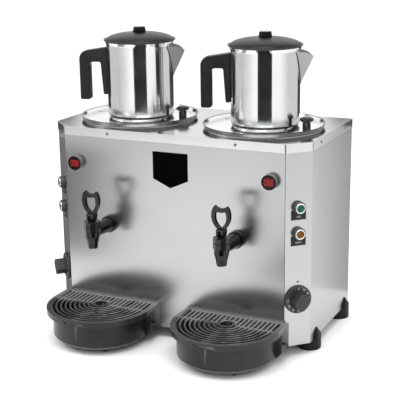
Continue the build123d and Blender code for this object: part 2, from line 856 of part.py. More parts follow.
# Drip tray: a round bowl under an overhanging lip, with wings along the panel
with BuildPart() as drip_tray:
    with BuildSketch(Plane.XY.offset(tray_bottom)):
        tray_outline(tray_bowl_radius, tray_back)
    extrude(amount=tray_top - tray_bottom)
    chamfer(drip_tray.faces().sort_by(Axis.Z)[0].edges().filter_by(GeomType.CIRCLE), tray_bottom_bevel)
    with BuildSketch(Plane.XY.offset(tray_top)):
        tray_outline(tray_radius, tray_back)
    extrude(amount=-tray_lip)
    with BuildSketch(front_plane(0, tray_wing_bottom, tray_back)):
        Polygon(
            (tray_wing_cut - tray_radius, 0),
            (tray_radius - tray_wing_cut, 0),
            (tray_radius, tray_wing_cut),
            (tray_radius, tray_top - tray_lip - tray_wing_bottom),
            (-tray_radius, tray_top - tray_lip - tray_wing_bottom),
            (-tray_radius, tray_wing_cut),
            align=None,
        )
    extrude(amount=tray_wing_depth)
    with BuildSketch(Plane.XY.offset(ledge)):
        tray_outline(grille_radius + seat_gap, tray_back - tray_wall - seat_gap)
    extrude(amount=tray_top - ledge, mode=Mode.SUBTRACT)
    with BuildSketch(Plane.XY.offset(tray_bottom + tray_wall)):
        tray_outline(tray_bowl_radius - tray_wall, tray_back - tray_wall - grille_border)
    extrude(amount=ledge - tray_bottom - tray_wall, mode=Mode.SUBTRACT)
    notch_front = tray_back - tray_wing_depth
    notch_top = tray_wing_bottom + tray_wing_cut + tray_notch_rise
    with BuildSketch(Plane.YZ.offset(tray_radius)):
        Polygon(
            (notch_front, notch_top),
            (notch_front, notch_top - tray_notch_height),
            (notch_front + tray_notch_run, notch_top - tray_notch_height - tray_notch_drop),
            (notch_front + tray_notch_run, notch_top - tray_notch_drop),
            align=None,
        )
    extrude(amount=-tray_notch_depth, mode=Mode.SUBTRACT)
    with BuildSketch(front_plane(0, tray_top - tray_lip, drain_y - tray_radius)):
        Rectangle(tray_recess_width, tray_recess_height, align=(Align.CENTER, Align.MIN))
    extrude(amount=-tray_recess_depth, mode=Mode.SUBTRACT)
    with BuildSketch():
        for angle in tray_foot_angles:
            with Locations((0, drain_y)):
                with PolarLocations(tray_bowl_radius - tray_foot_inset, 1, start_angle=angle):
                    Circle(tray_foot_radius)
    extrude(amount=tray_bottom)
write_units(drip_tray.part, "drip_tray")

# Drip grille: nested half-round slots that run straight back to the panel, with a ring round the drain
with BuildPart() as drip_grille:
    grille_back = tray_back - tray_wall - seat_gap * 2
    slot_back = grille_back - grille_border
    slot_room = grille_radius - grille_rim - slot_start_radius - slot_width
    slot_count = int(slot_room / slot_pitch) + 1
    with BuildSketch(Plane.XY.offset(grille_bottom)):
        tray_outline(grille_radius, grille_back)
    extrude(amount=grille_thickness)
    with BuildSketch(Plane.XY.offset(grille_bottom)):
        with Locations((0, drain_y)):
            Circle(drain_radius + drain_ring_width)
    extrude(amount=grille_thickness + drain_ring_proud)
    with BuildSketch(Plane.XY.offset(grille_bottom)):
        for row in reversed(range(slot_count)):
            row_radius = slot_start_radius + slot_pitch * row
            tray_outline(row_radius + slot_width, slot_back)
            with Locations((0, drain_y)):
                Circle(row_radius, mode=Mode.SUBTRACT)
                Rectangle(
                    row_radius * 2,
                    slot_back - drain_y,
                    align=(Align.CENTER, Align.MIN),
                    mode=Mode.SUBTRACT,
                )
        with Locations((0, drain_y)):
            Rectangle(grille_radius * 2, rib_width, mode=Mode.SUBTRACT)
        back_slot_start = drain_y + slot_start_radius + slot_pitch - slot_width
        back_slot_pitch = (slot_start_radius * 2 + slot_width) / (back_slot_count + 1)
        with Locations((0, back_slot_start)):
            with GridLocations(back_slot_pitch, 0, back_slot_count, 1):
                Rectangle(slot_width, slot_back - back_slot_start, align=(Align.CENTER, Align.MIN))
    extrude(amount=grille_thickness + drain_ring_proud, mode=Mode.SUBTRACT)
    with BuildSketch(Plane.XY.offset(grille_bottom)):
        with Locations((0, drain_y)):
            Circle(drain_radius)
    extrude(amount=grille_thickness + drain_ring_proud, mode=Mode.SUBTRACT)
write_units(drip_grille.part, "drip_grille")

# Boiler lid: a shallow pan with a spigot into the tank and a raised seat round its steam opening
with BuildPart() as boiler_lid:
    seat_radius = steam_opening_radius + seat_ring_width
    with BuildSketch(Plane.XZ):
        Polygon(
            (steam_opening_radius, 0),
            (lid_spigot_radius - sheet, 0),
            (lid_spigot_radius - sheet, -lid_spigot_depth),
            (lid_spigot_radius, -lid_spigot_depth),
            (lid_spigot_radius, 0),
            (lid_floor_radius, 0),
            (lid_radius, lid_rim_height),
            (lid_radius - sheet, lid_rim_height),
            (lid_floor_radius - sheet, sheet),
            (seat_radius, sheet),
            (seat_radius, sheet + seat_ring_height),
            (steam_opening_radius, sheet + seat_ring_height),
            align=None,
        )
    revolve(axis=Axis.Z)
    with BuildSketch():
        with PolarLocations(lid_floor_radius - outer_vent_inset, 1, start_angle=outer_vent_angle):
            Circle(vent_radius)
        with PolarLocations(seat_radius + inner_vent_gap, 1, start_angle=inner_vent_angle):
            Circle(vent_radius)
    extrude(amount=sheet, mode=Mode.SUBTRACT)
write_lids(boiler_lid.part, "boiler_lid")

# Mushroom knob of the boiler lid
with BuildPart() as lid_knob:
    head_bottom = lid_knob_height - lid_knob_head
    with BuildSketch(Plane.XZ):
        Polygon(
            (0, 0),
            (lid_knob_stem_radius, 0),
            (lid_knob_stem_radius, head_bottom),
            *((x, head_bottom + y) for x, y in scaled(lid_knob_shares, lid_knob_radius, lid_knob_head)),
            align=None,
        )
    revolve(axis=Axis.Z)
write_lids(lid_knob.part.moved(Location((lid_knob_offset, 0, sheet))), "lid_knob")

# Teapot body: a straight wall on a thick base, flared at the rim and open behind the beak
with BuildPart() as pot_body:
    flare_start = pot_height - pot_flare_height
    beak_bottom = flare_start - beak_height
    wall_inside = pot_radius - pot_wall
    with BuildSketch(Plane.XZ):
        Polygon(
            (0, 0),
            (pot_base_radius, 0),
            (pot_radius, pot_base_thickness),
            (pot_radius, flare_start),
            (pot_radius + pot_flare, pot_height),
            (wall_inside + pot_flare, pot_height),
            (wall_inside, flare_start),
            (wall_inside, pot_base_thickness),
            (0, pot_base_thickness),
            align=None,
        )
    revolve(axis=Axis.Z)
    mouth_top = flare_start - pot_base_thickness
    mouth_bottom = (beak_bottom + flare_start) / 2
    with BuildSketch(Plane.YZ.offset(pot_radius / 2)):
        Polygon(
            (-beak_half_width / 2, mouth_top),
            (beak_half_width / 2, mouth_top),
            (0, mouth_bottom),
            align=None,
        )
    extrude(amount=pot_radius, mode=Mode.SUBTRACT)
write_pots(pot_body.part, "pot_body")

# Beak of the teapot: two folded leaves that meet in a keel, open at the top
with BuildPart() as pot_beak:
    root_x = pot_radius * beak_root_share
    beak_reach = pot_radius + beak_length
    beak_tip = flare_start - beak_tip_drop
    spread = (beak_reach - root_x) / beak_length
    root_top = beak_tip + beak_tip_drop * spread
    root_bottom = beak_tip + (beak_bottom - beak_tip) * spread
    root_half = beak_half_width * spread
    arch_share = (root_top + beak_arch * 4 - root_bottom) / (root_top - root_bottom)
    root_half = root_half * arch_share
    root_top = root_top + beak_arch * 4
    with BuildSketch(Plane.YZ.offset(root_x), mode=Mode.PRIVATE) as beak_outside:
        Polygon((-root_half, root_top), (root_half, root_top), (0, root_bottom), align=None)
    loft(sections=[beak_outside.sketch.face(), Vertex(beak_reach, 0, beak_tip)])
    with BuildSketch(Plane.YZ.offset(root_x), mode=Mode.PRIVATE) as beak_inside:
        Polygon(
            (-root_half, root_top + beak_leaf),
            (root_half, root_top + beak_leaf),
            (0, root_bottom + beak_leaf * 2),
            align=None,
        )
    inner_tip = Vertex(beak_reach - beak_leaf, 0, beak_tip + beak_leaf)
    loft(sections=[beak_inside.sketch.face(), inner_tip], mode=Mode.SUBTRACT)
    with BuildSketch():
        Circle(pot_radius + weld_gap)
    extrude(amount=pot_height, mode=Mode.SUBTRACT)
    arch_middle = ((pot_radius + beak_reach) / 2, (flare_start + beak_tip) / 2 + beak_arch)
    with BuildSketch(Plane.XZ):
        with BuildLine():
            ThreePointArc((pot_radius, flare_start), arch_middle, (beak_reach, beak_tip))
            Polyline(
                (beak_reach, beak_tip),
                (beak_reach, root_top),
                (root_x, root_top),
                (root_x, flare_start),
                (pot_radius, flare_start),
            )
        make_face()
    extrude(amount=root_half, both=True, mode=Mode.SUBTRACT)
write_pots(pot_beak.part, "pot_beak")

# Teapot handle: an arm on the wall of the pot, a bridge and a grip with a free lower end
with BuildPart() as pot_handle:
    arm_top_x = pot_radius + handle_arm_top_thickness
    arm_bottom_x = pot_radius + handle_arm_bottom_thickness
    handle_reach = pot_radius + handle_standoff
    handle_top = pot_height - handle_drop
    handle_shoulder = handle_top - handle_slope_drop
    handle_gap_top = handle_top - handle_bridge_depth
    grip_inside = handle_reach - grip_thickness
    with BuildSketch(Plane.XZ):
        with BuildLine():
            FilletPolyline(
                (-pot_radius, handle_arm_bottom),
                (-arm_bottom_x, handle_arm_bottom),
                (-arm_top_x, handle_gap_top),
                (-grip_inside, handle_gap_top),
                (-grip_inside, grip_bottom),
                (-handle_reach, grip_bottom),
                (-handle_reach, handle_shoulder),
                (-pot_radius, handle_top),
                radius=(
                    0,
                    handle_edge_round,
                    handle_edge_round,
                    handle_inner_round,
                    handle_edge_round,
                    handle_edge_round,
                    handle_outer_round,
                    0,
                ),
                close=True,
            )
        make_face()
    extrude(amount=handle_width / 2, both=True)
    with BuildSketch():
        Circle(pot_radius + weld_gap)
    extrude(amount=pot_height, mode=Mode.SUBTRACT)
write_pots(pot_handle.part, "pot_handle")

# Teapot lid: a moulded dome with a brim and a skirt inside the rim
with BuildPart() as pot_lid:
    skirt_radius = pot_radius - pot_wall - lid_skirt_gap
    brim_radius = pot_radius + pot_flare + brim_overhang
    dome_radius = brim_radius - brim_width
    brim_base = pot_height + seat_gap
    brim_top = brim_base + brim_thickness
    dome_top = brim_base + dome_height
    with BuildSketch(Plane.XZ):
        with BuildLine():
            Polyline(
                (0, dome_top - dome_wall),
                (0, dome_top),
            )
            dome_arc(dome_radius, brim_top, dome_height - brim_thickness)
            Polyline(
                (dome_radius, brim_top),
                (brim_radius, brim_top + brim_upturn),
                (brim_radius, brim_base + brim_upturn),
                (brim_radius - brim_overhang, brim_base),
                (skirt_radius, brim_base),
                (skirt_radius, brim_base - lid_skirt_depth),
                (skirt_radius - dome_wall, brim_base - lid_skirt_depth),
                (skirt_radius - dome_wall, brim_base),
            )
            dome_arc(skirt_radius - dome_wall, brim_base, dome_height - dome_wall)
        make_face()
    revolve(axis=Axis.Z)
write_pots(pot_lid.part, "pot_lid")

# Knob of the teapot lid
with BuildPart() as pot_lid_knob:
    with BuildSketch(Plane.XY.offset(dome_top)):
        Circle(pot_knob_base_radius)
    with BuildSketch(Plane.XY.offset(dome_top + pot_knob_height)):
        Circle(pot_knob_top_radius)
    loft()
write_pots(pot_lid_knob.part, "pot_lid_knob")

# Cable gland through the back panel
with BuildPart() as cable_gland:
    gland_z = foot_height + gland_height
    with BuildSketch(back_plane(gland_x, gland_z)):
        RegularPolygon(gland_hex_radius, 6)
    extrude(amount=gland_hex_length)
    with BuildSketch(back_plane(gland_x, gland_z, panel_back + gland_hex_length)):
        Circle(gland_cap_radius)
    with BuildSketch(back_plane(gland_x, gland_z, panel_back + gland_reach)):
        Circle(gland_cap_tip_radius)
    loft()
    with BuildSketch(back_plane(gland_x, gland_z)):
        Circle(gland_barrel_radius)
    extrude(amount=-gland_inside_length)
    with BuildSketch(back_plane(gland_x, gland_z, panel_back - sheet)):
        RegularPolygon(gland_hex_radius, 6)
    extrude(amount=-gland_nut_length)
    with BuildSketch(back_plane(gland_x, gland_z, panel_back + gland_reach)):
        Circle(gland_bore_radius)
    extrude(amount=-gland_reach - gland_inside_length, mode=Mode.SUBTRACT)
write_node(cable_gland.part, "cable_gland")

# Terminal block on the base plate
with BuildPart() as terminal_block:
    with BuildSketch(Plane.XY.offset(panel_bottom)):
        with Locations((gland_x, back_y - terminal_setback)):
            Rectangle(terminal_length, terminal_depth)
    extrude(amount=terminal_height)
    with BuildSketch(Plane.XY.offset(panel_bottom + terminal_height)):
        with Locations((gland_x, back_y - terminal_setback)):
            with GridLocations(terminal_length / terminal_ways, 0, terminal_ways, 1):
                Rectangle(terminal_slot_width, terminal_depth)
    extrude(amount=-terminal_slot_depth, mode=Mode.SUBTRACT)
write_node(terminal_block.part, "terminal_block")
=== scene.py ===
"""Looks of a twin countertop tea boiler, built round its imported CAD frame."""
import json
import logging
import math
from abc import ABC, abstractmethod
from dataclasses import dataclass
from enum import Enum
from functools import cache
from typing import Callable, Iterable, Sequence

import bmesh
import bpy
from bpy.types import ID, Material, Mesh, MeshPolygon, Node, NodeSocket, NodeTree, Object
from mathutils import Matrix, Vector
from mathutils.bvhtree import BVHTree

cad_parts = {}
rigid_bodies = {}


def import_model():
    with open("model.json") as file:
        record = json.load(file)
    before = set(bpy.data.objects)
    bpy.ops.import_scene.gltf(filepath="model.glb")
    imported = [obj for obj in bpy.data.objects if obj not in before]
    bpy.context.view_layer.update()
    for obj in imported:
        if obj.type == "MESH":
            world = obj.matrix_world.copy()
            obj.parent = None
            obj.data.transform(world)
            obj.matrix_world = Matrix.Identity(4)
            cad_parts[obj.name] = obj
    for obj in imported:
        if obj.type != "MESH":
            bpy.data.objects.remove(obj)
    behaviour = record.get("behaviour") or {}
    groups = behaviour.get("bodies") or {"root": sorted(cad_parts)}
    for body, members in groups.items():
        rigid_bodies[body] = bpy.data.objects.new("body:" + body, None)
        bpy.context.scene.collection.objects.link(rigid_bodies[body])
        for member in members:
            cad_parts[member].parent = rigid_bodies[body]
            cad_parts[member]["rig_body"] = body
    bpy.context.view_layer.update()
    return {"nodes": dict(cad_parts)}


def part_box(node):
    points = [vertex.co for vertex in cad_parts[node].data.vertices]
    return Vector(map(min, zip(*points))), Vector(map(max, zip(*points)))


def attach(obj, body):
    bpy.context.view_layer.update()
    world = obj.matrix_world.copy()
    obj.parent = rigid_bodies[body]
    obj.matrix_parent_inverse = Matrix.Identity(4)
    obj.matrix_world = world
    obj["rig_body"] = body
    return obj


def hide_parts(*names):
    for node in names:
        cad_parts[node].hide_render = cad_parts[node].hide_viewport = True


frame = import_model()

LOG = logging.getLogger("tea_boiler")
MM = 0.001
UP = Vector((0.0, 0.0, 1.0))
FRONT = Vector((0.0, -1.0, 0.0))
BACK = Vector((0.0, 1.0, 0.0))
NODES = frame["nodes"]
# Points nearer than this are one point, and faces that bend by less than this are one face
MERGE_MM = 0.002
FLAT_DEG = 0.4
# Edges of copies that bend by more than this are rounded, and edges of new solids stay sharp
ROUNDED_DEG = 32.0
CREASE_DEG = 35.0
# Sides of small turned solids, and of the wire of rings
TURNED_STEPS = 20
WIRE_STEPS = 12
# Half the thickness of printed lettering
PRINT_MM = 0.06

Inputs = dict[str | int, object] | Sequence[object]
Span = tuple[float, float]
Profile = Sequence[Span]
Strip = tuple[list[Vector], list[Vector], list[float]]
# Where a noise's values lie: most of them, and nearly all
MOST_NOISE: Span = (0.3, 0.7)
ALL_NOISE: Span = (0.25, 0.75)


class Side(Enum):
    """The two mirrored units of the boiler."""

    LEFT = "left"
    RIGHT = "right"

    @property
    def sign(self) -> int:
        """Minus one on the left and one on the right."""
        return -1 if self is Side.LEFT else 1

    def node(self, stem: str) -> str:
        """The name of this side's CAD node."""
        return f"{stem}_{self.value}"

    @property
    def corner_normal(self) -> Vector:
        """The way this side's slanted control corner faces."""
        return Vector((self.sign, -1.0, 0.0)).normalized()


class Lamp(Enum):
    """The signal lamps of a control corner, with the word on the plate of each."""

    GREEN = "ON"
    AMBER = "HEAT"


def linear(code: str) -> tuple[float, float, float, float]:
    """Turn an sRGB hex colour to linear light.

    Args:
        code: The colour, such as "#c8c9ca".

    Returns:
        Linear red, green and blue, with an alpha of one.
    """
    shares = [int(code[i:i + 2], 16) / 255 for i in (1, 3, 5)]
    red, green, blue = (s / 12.92 if s <= 0.04045 else ((s + 0.055) / 1.055) ** 2.4 for s in shares)
    return red, green, blue, 1.0


def add_node(tree: NodeTree, kind: str, inputs: Inputs = (), **settings: object) -> Node:
    """Add a node with its settings, values and links.

    Args:
        tree: The shader or geometry tree.
        kind: Blender's name of the node type.
        inputs: What each input gets, by its name or number, or in order from the first: a value, the socket
            that feeds it, or a node whose first output does.
        **settings: The node's own settings.

    Returns:
        The new node.
    """
    node = tree.nodes.new(kind)
    for key, value in settings.items():
        setattr(node, key, value)
    for key, value in (inputs.items() if isinstance(inputs, dict) else enumerate(inputs)):
        source = value.outputs[0] if isinstance(value, Node) else value
        if isinstance(source, NodeSocket):
            tree.links.new(source, node.inputs[key])
        else:
            node.inputs[key].default_value = source
    return node


@dataclass(frozen=True)
class Finish(ABC):
    """A surface finish: what the material is and how its surface was made."""

    name: str
    colour: str
    roughness: float

    @cache
    def material(self) -> Material:
        """Make the finish's material the first time, and find it after that.

        Returns:
            The material.
        """
        made = bpy.data.materials.new(self.name)
        made.use_nodes = True
        made.diffuse_color = linear(self.colour)
        made.node_tree.nodes.clear()
        place = add_node(made.node_tree, "ShaderNodeTexCoord").outputs["Object"]
        shader = add_node(made.node_tree, "ShaderNodeBsdfPrincipled", self.look(made.node_tree, place))
        add_node(made.node_tree, "ShaderNodeOutputMaterial", {"Surface": shader})
        return made

    @abstractmethod
    def look(self, tree: NodeTree, place: NodeSocket) -> Inputs:
        """Draw the surface's patterns.

        Args:
            tree: The material's tree.
            place: The object's coordinates.

        Returns:
            The inputs of the material's shader.
        """


@dataclass(frozen=True)
class BrushedSteel(Finish):
    """Stainless sheet, ground with a belt: upright hairlines that smear reflections sideways."""

    line_mm: float = 1.3
    line_run_mm: float = 140.0
    line_tones: Span = (0.985, 1.012)
    cloud_mm: float = 170.0
    cloud_tones: Span = (0.965, 1.02)
    gloss_swing: float = 0.02
    smear: float = 0.6
    relief: float = 0.012
    relief_mm: float = 0.2

    def look(self, tree: NodeTree, place: NodeSocket) -> Inputs:
        """Draw hairlines in roughness and relief, and faint clouds in the tone.

        Args:
            tree: The material's tree.
            place: The object's coordinates.

        Returns:
            The inputs of the material's shader.
        """
        # Real hairlines are about 0.1 mm apart, so they are drawn coarser here to show in a picture
        across, along = 1 / (self.line_mm * MM), 1 / (self.line_run_mm * MM)
        combed = add_node(tree, "ShaderNodeMapping", {"Vector": place, "Scale": (across, across, along)})
        lines = add_node(tree, "ShaderNodeTexNoise", {
            "Vector": combed, "Scale": 1.0, "Detail": 4.0, "Roughness": 0.65})
        clouds = add_node(tree, "ShaderNodeTexNoise", {
            "Vector": place, "Scale": 1 / (self.cloud_mm * MM), "Detail": 2.0})
        gloss = add_node(tree, "ShaderNodeMapRange", (
            lines, *ALL_NOISE, self.roughness - self.gloss_swing, self.roughness + self.gloss_swing))
        tone = add_node(tree, "ShaderNodeMapRange", (clouds, *MOST_NOISE, *self.cloud_tones))
        streak = add_node(tree, "ShaderNodeMapRange", (lines, *ALL_NOISE, *self.line_tones))
        share = add_node(tree, "ShaderNodeMath", (tone, streak), operation="MULTIPLY")
        tint = add_node(tree, "ShaderNodeVectorMath", {
            0: linear(self.colour)[:3], "Scale": share}, operation="SCALE")
        relief = add_node(tree, "ShaderNodeBump", {
            "Height": lines, "Strength": self.relief, "Distance": self.relief_mm * MM})
        tangent = add_node(tree, "ShaderNodeTangent", direction_type="RADIAL", axis="Z")
        return {
            "Base Color": tint, "Metallic": 1.0, "Roughness": gloss,
            "Anisotropic": self.smear, "Tangent": tangent, "Normal": relief}


@dataclass(frozen=True)
class PolishedSteel(Finish):
    """Stainless buffed to a mirror: clear reflections, drawn out upright where a wheel went round."""

    wave_mm: float = 55.0
    sway: float = 0.02
    sway_mm: float = 1.0
    smudge_mm: float = 30.0
    smudge_span: Span = (0.35, 0.7)
    smudge_tones: Span = (0.98, 1.02)
    smudge_gloss: float = 0.05
    smear: float = 0.0
    smear_turn: float = 0.25

    def look(self, tree: NodeTree, place: NodeSocket) -> Inputs:
        """Draw slow waves in the relief and faint wiping marks in the gloss.

        Args:
            tree: The material's tree.
            place: The object's coordinates.

        Returns:
            The inputs of the material's shader.
        """
        waves = add_node(tree, "ShaderNodeTexNoise", {
            "Vector": place, "Scale": 1 / (self.wave_mm * MM), "Detail": 1.0})
        wiping = add_node(tree, "ShaderNodeTexNoise", {
            "Vector": place, "Scale": 1 / (self.smudge_mm * MM), "Detail": 5.0, "Roughness": 0.7})
        gloss = add_node(tree, "ShaderNodeMapRange", (
            wiping, *self.smudge_span, self.roughness, self.roughness + self.smudge_gloss))
        tone = add_node(tree, "ShaderNodeMapRange", (wiping, *MOST_NOISE, *self.smudge_tones))
        tint = add_node(tree, "ShaderNodeVectorMath", {
            0: linear(self.colour)[:3], "Scale": tone}, operation="SCALE")
        relief = add_node(tree, "ShaderNodeBump", {
            "Height": waves, "Strength": self.sway, "Distance": self.sway_mm * MM})
        tangent = add_node(tree, "ShaderNodeTangent", direction_type="RADIAL", axis="Z")
        return {
            "Base Color": tint, "Metallic": 1.0, "Roughness": gloss, "Anisotropic": self.smear,
            "Anisotropic Rotation": self.smear_turn, "Tangent": tangent, "Normal": relief}


@dataclass(frozen=True)
class MouldedPlastic(Finish):
    """Plastic from an etched mould: a fine grain that breaks up the sheen, and edges painted paler as a
    highlight.
    """

    grain_mm: float = 1.1
    grain_depth: float = 0.12
    relief_mm: float = 0.15
    # Colour of the random clouds, and of the painted highlight along sharp edges
    mottle_and_highlight: str = "#3a3b3d"
    edge_span: Span = (0.52, 0.62)
    edge_share: float = 0.8
    cloud_mm: float = 40.0
    cloud_share: float = 0.12
    gloss_swing: Span = (-0.04, 0.06)
    sheen: float = 0.3
    ior: float = 1.5

    def look(self, tree: NodeTree, place: NodeSocket) -> Inputs:
        """Draw moulded grain in the relief, clouds in tone and gloss, and a painted highlight on sharp
        edges.

        Args:
            tree: The material's tree.
            place: The object's coordinates.

        Returns:
            The inputs of the material's shader.
        """
        # An etched grain is about 0.2 mm wide, and is drawn coarser so that it shows
        grain = add_node(tree, "ShaderNodeTexNoise", {
            "Vector": place, "Scale": 1 / (self.grain_mm * MM), "Detail": 3.0, "Roughness": 0.6})
        clouds = add_node(tree, "ShaderNodeTexNoise", {
            "Vector": place, "Scale": 1 / (self.cloud_mm * MM), "Detail": 3.0})
        # Sharp outer edges are painted paler, a painted highlight where a real edge would catch the light
        edges = add_node(tree, "ShaderNodeNewGeometry").outputs["Pointiness"]
        edge_highlight = add_node(tree, "ShaderNodeMapRange", (edges, *self.edge_span, 0.0, self.edge_share))
        cloudy = add_node(tree, "ShaderNodeMapRange", (clouds, *MOST_NOISE, 0.0, self.cloud_share))
        share = add_node(tree, "ShaderNodeMath", (edge_highlight, cloudy), operation="ADD", use_clamp=True)
        tint = add_node(tree, "ShaderNodeMix", {
            0: share, 6: linear(self.colour), 7: linear(self.mottle_and_highlight)}, data_type="RGBA")
        gloss = add_node(tree, "ShaderNodeMapRange", (
            clouds, *MOST_NOISE, *(self.roughness + swing for swing in self.gloss_swing)))
        relief = add_node(tree, "ShaderNodeBump", {
            "Height": grain, "Strength": self.grain_depth, "Distance": self.relief_mm * MM})
        return {
            "Base Color": tint.outputs[2], "Roughness": gloss, "IOR": self.ior,
            "Specular IOR Level": self.sheen, "Normal": relief}


@dataclass(frozen=True)
class LampLens(Finish):
    """Clear-dyed acrylic lamp lens: prisms moulded inside make small lights and darks in its colour."""

    deep: str = "#033c39"
    deep_share: float = 0.8
    prism_mm: float = 3.2
    prism_span: Span = (0.1, 0.75)
    relief: float = 0.15
    relief_mm: float = 0.4
    sheen: float = 0.25
    ior: float = 1.49

    def look(self, tree: NodeTree, place: NodeSocket) -> Inputs:
        """Draw a cell pattern for the prisms, under a glossy face.

        Args:
            tree: The material's tree.
            place: The object's coordinates.

        Returns:
            The inputs of the material's shader.
        """
        prisms = add_node(tree, "ShaderNodeTexVoronoi", {
            "Vector": place, "Scale": 1 / (self.prism_mm * MM)}).outputs["Distance"]
        share = add_node(tree, "ShaderNodeMapRange", (prisms, *self.prism_span, 0.0, self.deep_share))
        tint = add_node(tree, "ShaderNodeMix", {
            0: share, 6: linear(self.colour), 7: linear(self.deep)}, data_type="RGBA")
        relief = add_node(tree, "ShaderNodeBump", {
            "Height": prisms, "Strength": self.relief, "Distance": self.relief_mm * MM})
        return {
            "Base Color": tint.outputs[2], "Roughness": self.roughness, "IOR": self.ior,
            "Specular IOR Level": self.sheen, "Normal": relief}


@dataclass(frozen=True)
class PrintedInk(Finish):
    """Screen-printed ink: an even colour with slightly thin spots."""

    thin: str
    thin_share: float = 0.5
    spot_mm: float = 0.9
    spot_span: Span = (0.5, 0.75)
    ior: float = 1.5

    def look(self, tree: NodeTree, place: NodeSocket) -> Inputs:
        """Draw spots where the ink is thin.

        Args:
            tree: The material's tree.
            place: The object's coordinates.

        Returns:
            The inputs of the material's shader.
        """
        spots = add_node(tree, "ShaderNodeTexNoise", {
            "Vector": place, "Scale": 1 / (self.spot_mm * MM), "Detail": 2.0})
        share = add_node(tree, "ShaderNodeMapRange", (spots, *self.spot_span, 0.0, self.thin_share))
        tint = add_node(tree, "ShaderNodeMix", {
            0: share, 6: linear(self.colour), 7: linear(self.thin)}, data_type="RGBA")
        return {
            "Base Color": tint.outputs[2], "Roughness": self.roughness, "IOR": self.ior}


@dataclass(frozen=True)
class LitSegment(Finish):
    """Light-emitting display segment: a red glow, a little uneven over its diffuser."""

    glow: float = 0.3
    dimmest: float = 0.7
    uneven_mm: float = 1.5

    def look(self, tree: NodeTree, place: NodeSocket) -> Inputs:
        """Draw a glow that varies over the segment.

        Args:
            tree: The material's tree.
            place: The object's coordinates.

        Returns:
            The inputs of the material's shader.
        """
        uneven = add_node(tree, "ShaderNodeTexNoise", {
            "Vector": place, "Scale": 1 / (self.uneven_mm * MM), "Detail": 1.0})
        strength = add_node(tree, "ShaderNodeMapRange", (
            uneven, *MOST_NOISE, self.glow * self.dimmest, self.glow))
        return {
            "Base Color": linear(self.colour), "Roughness": self.roughness,
            "Emission Color": linear(self.colour), "Emission Strength": strength}


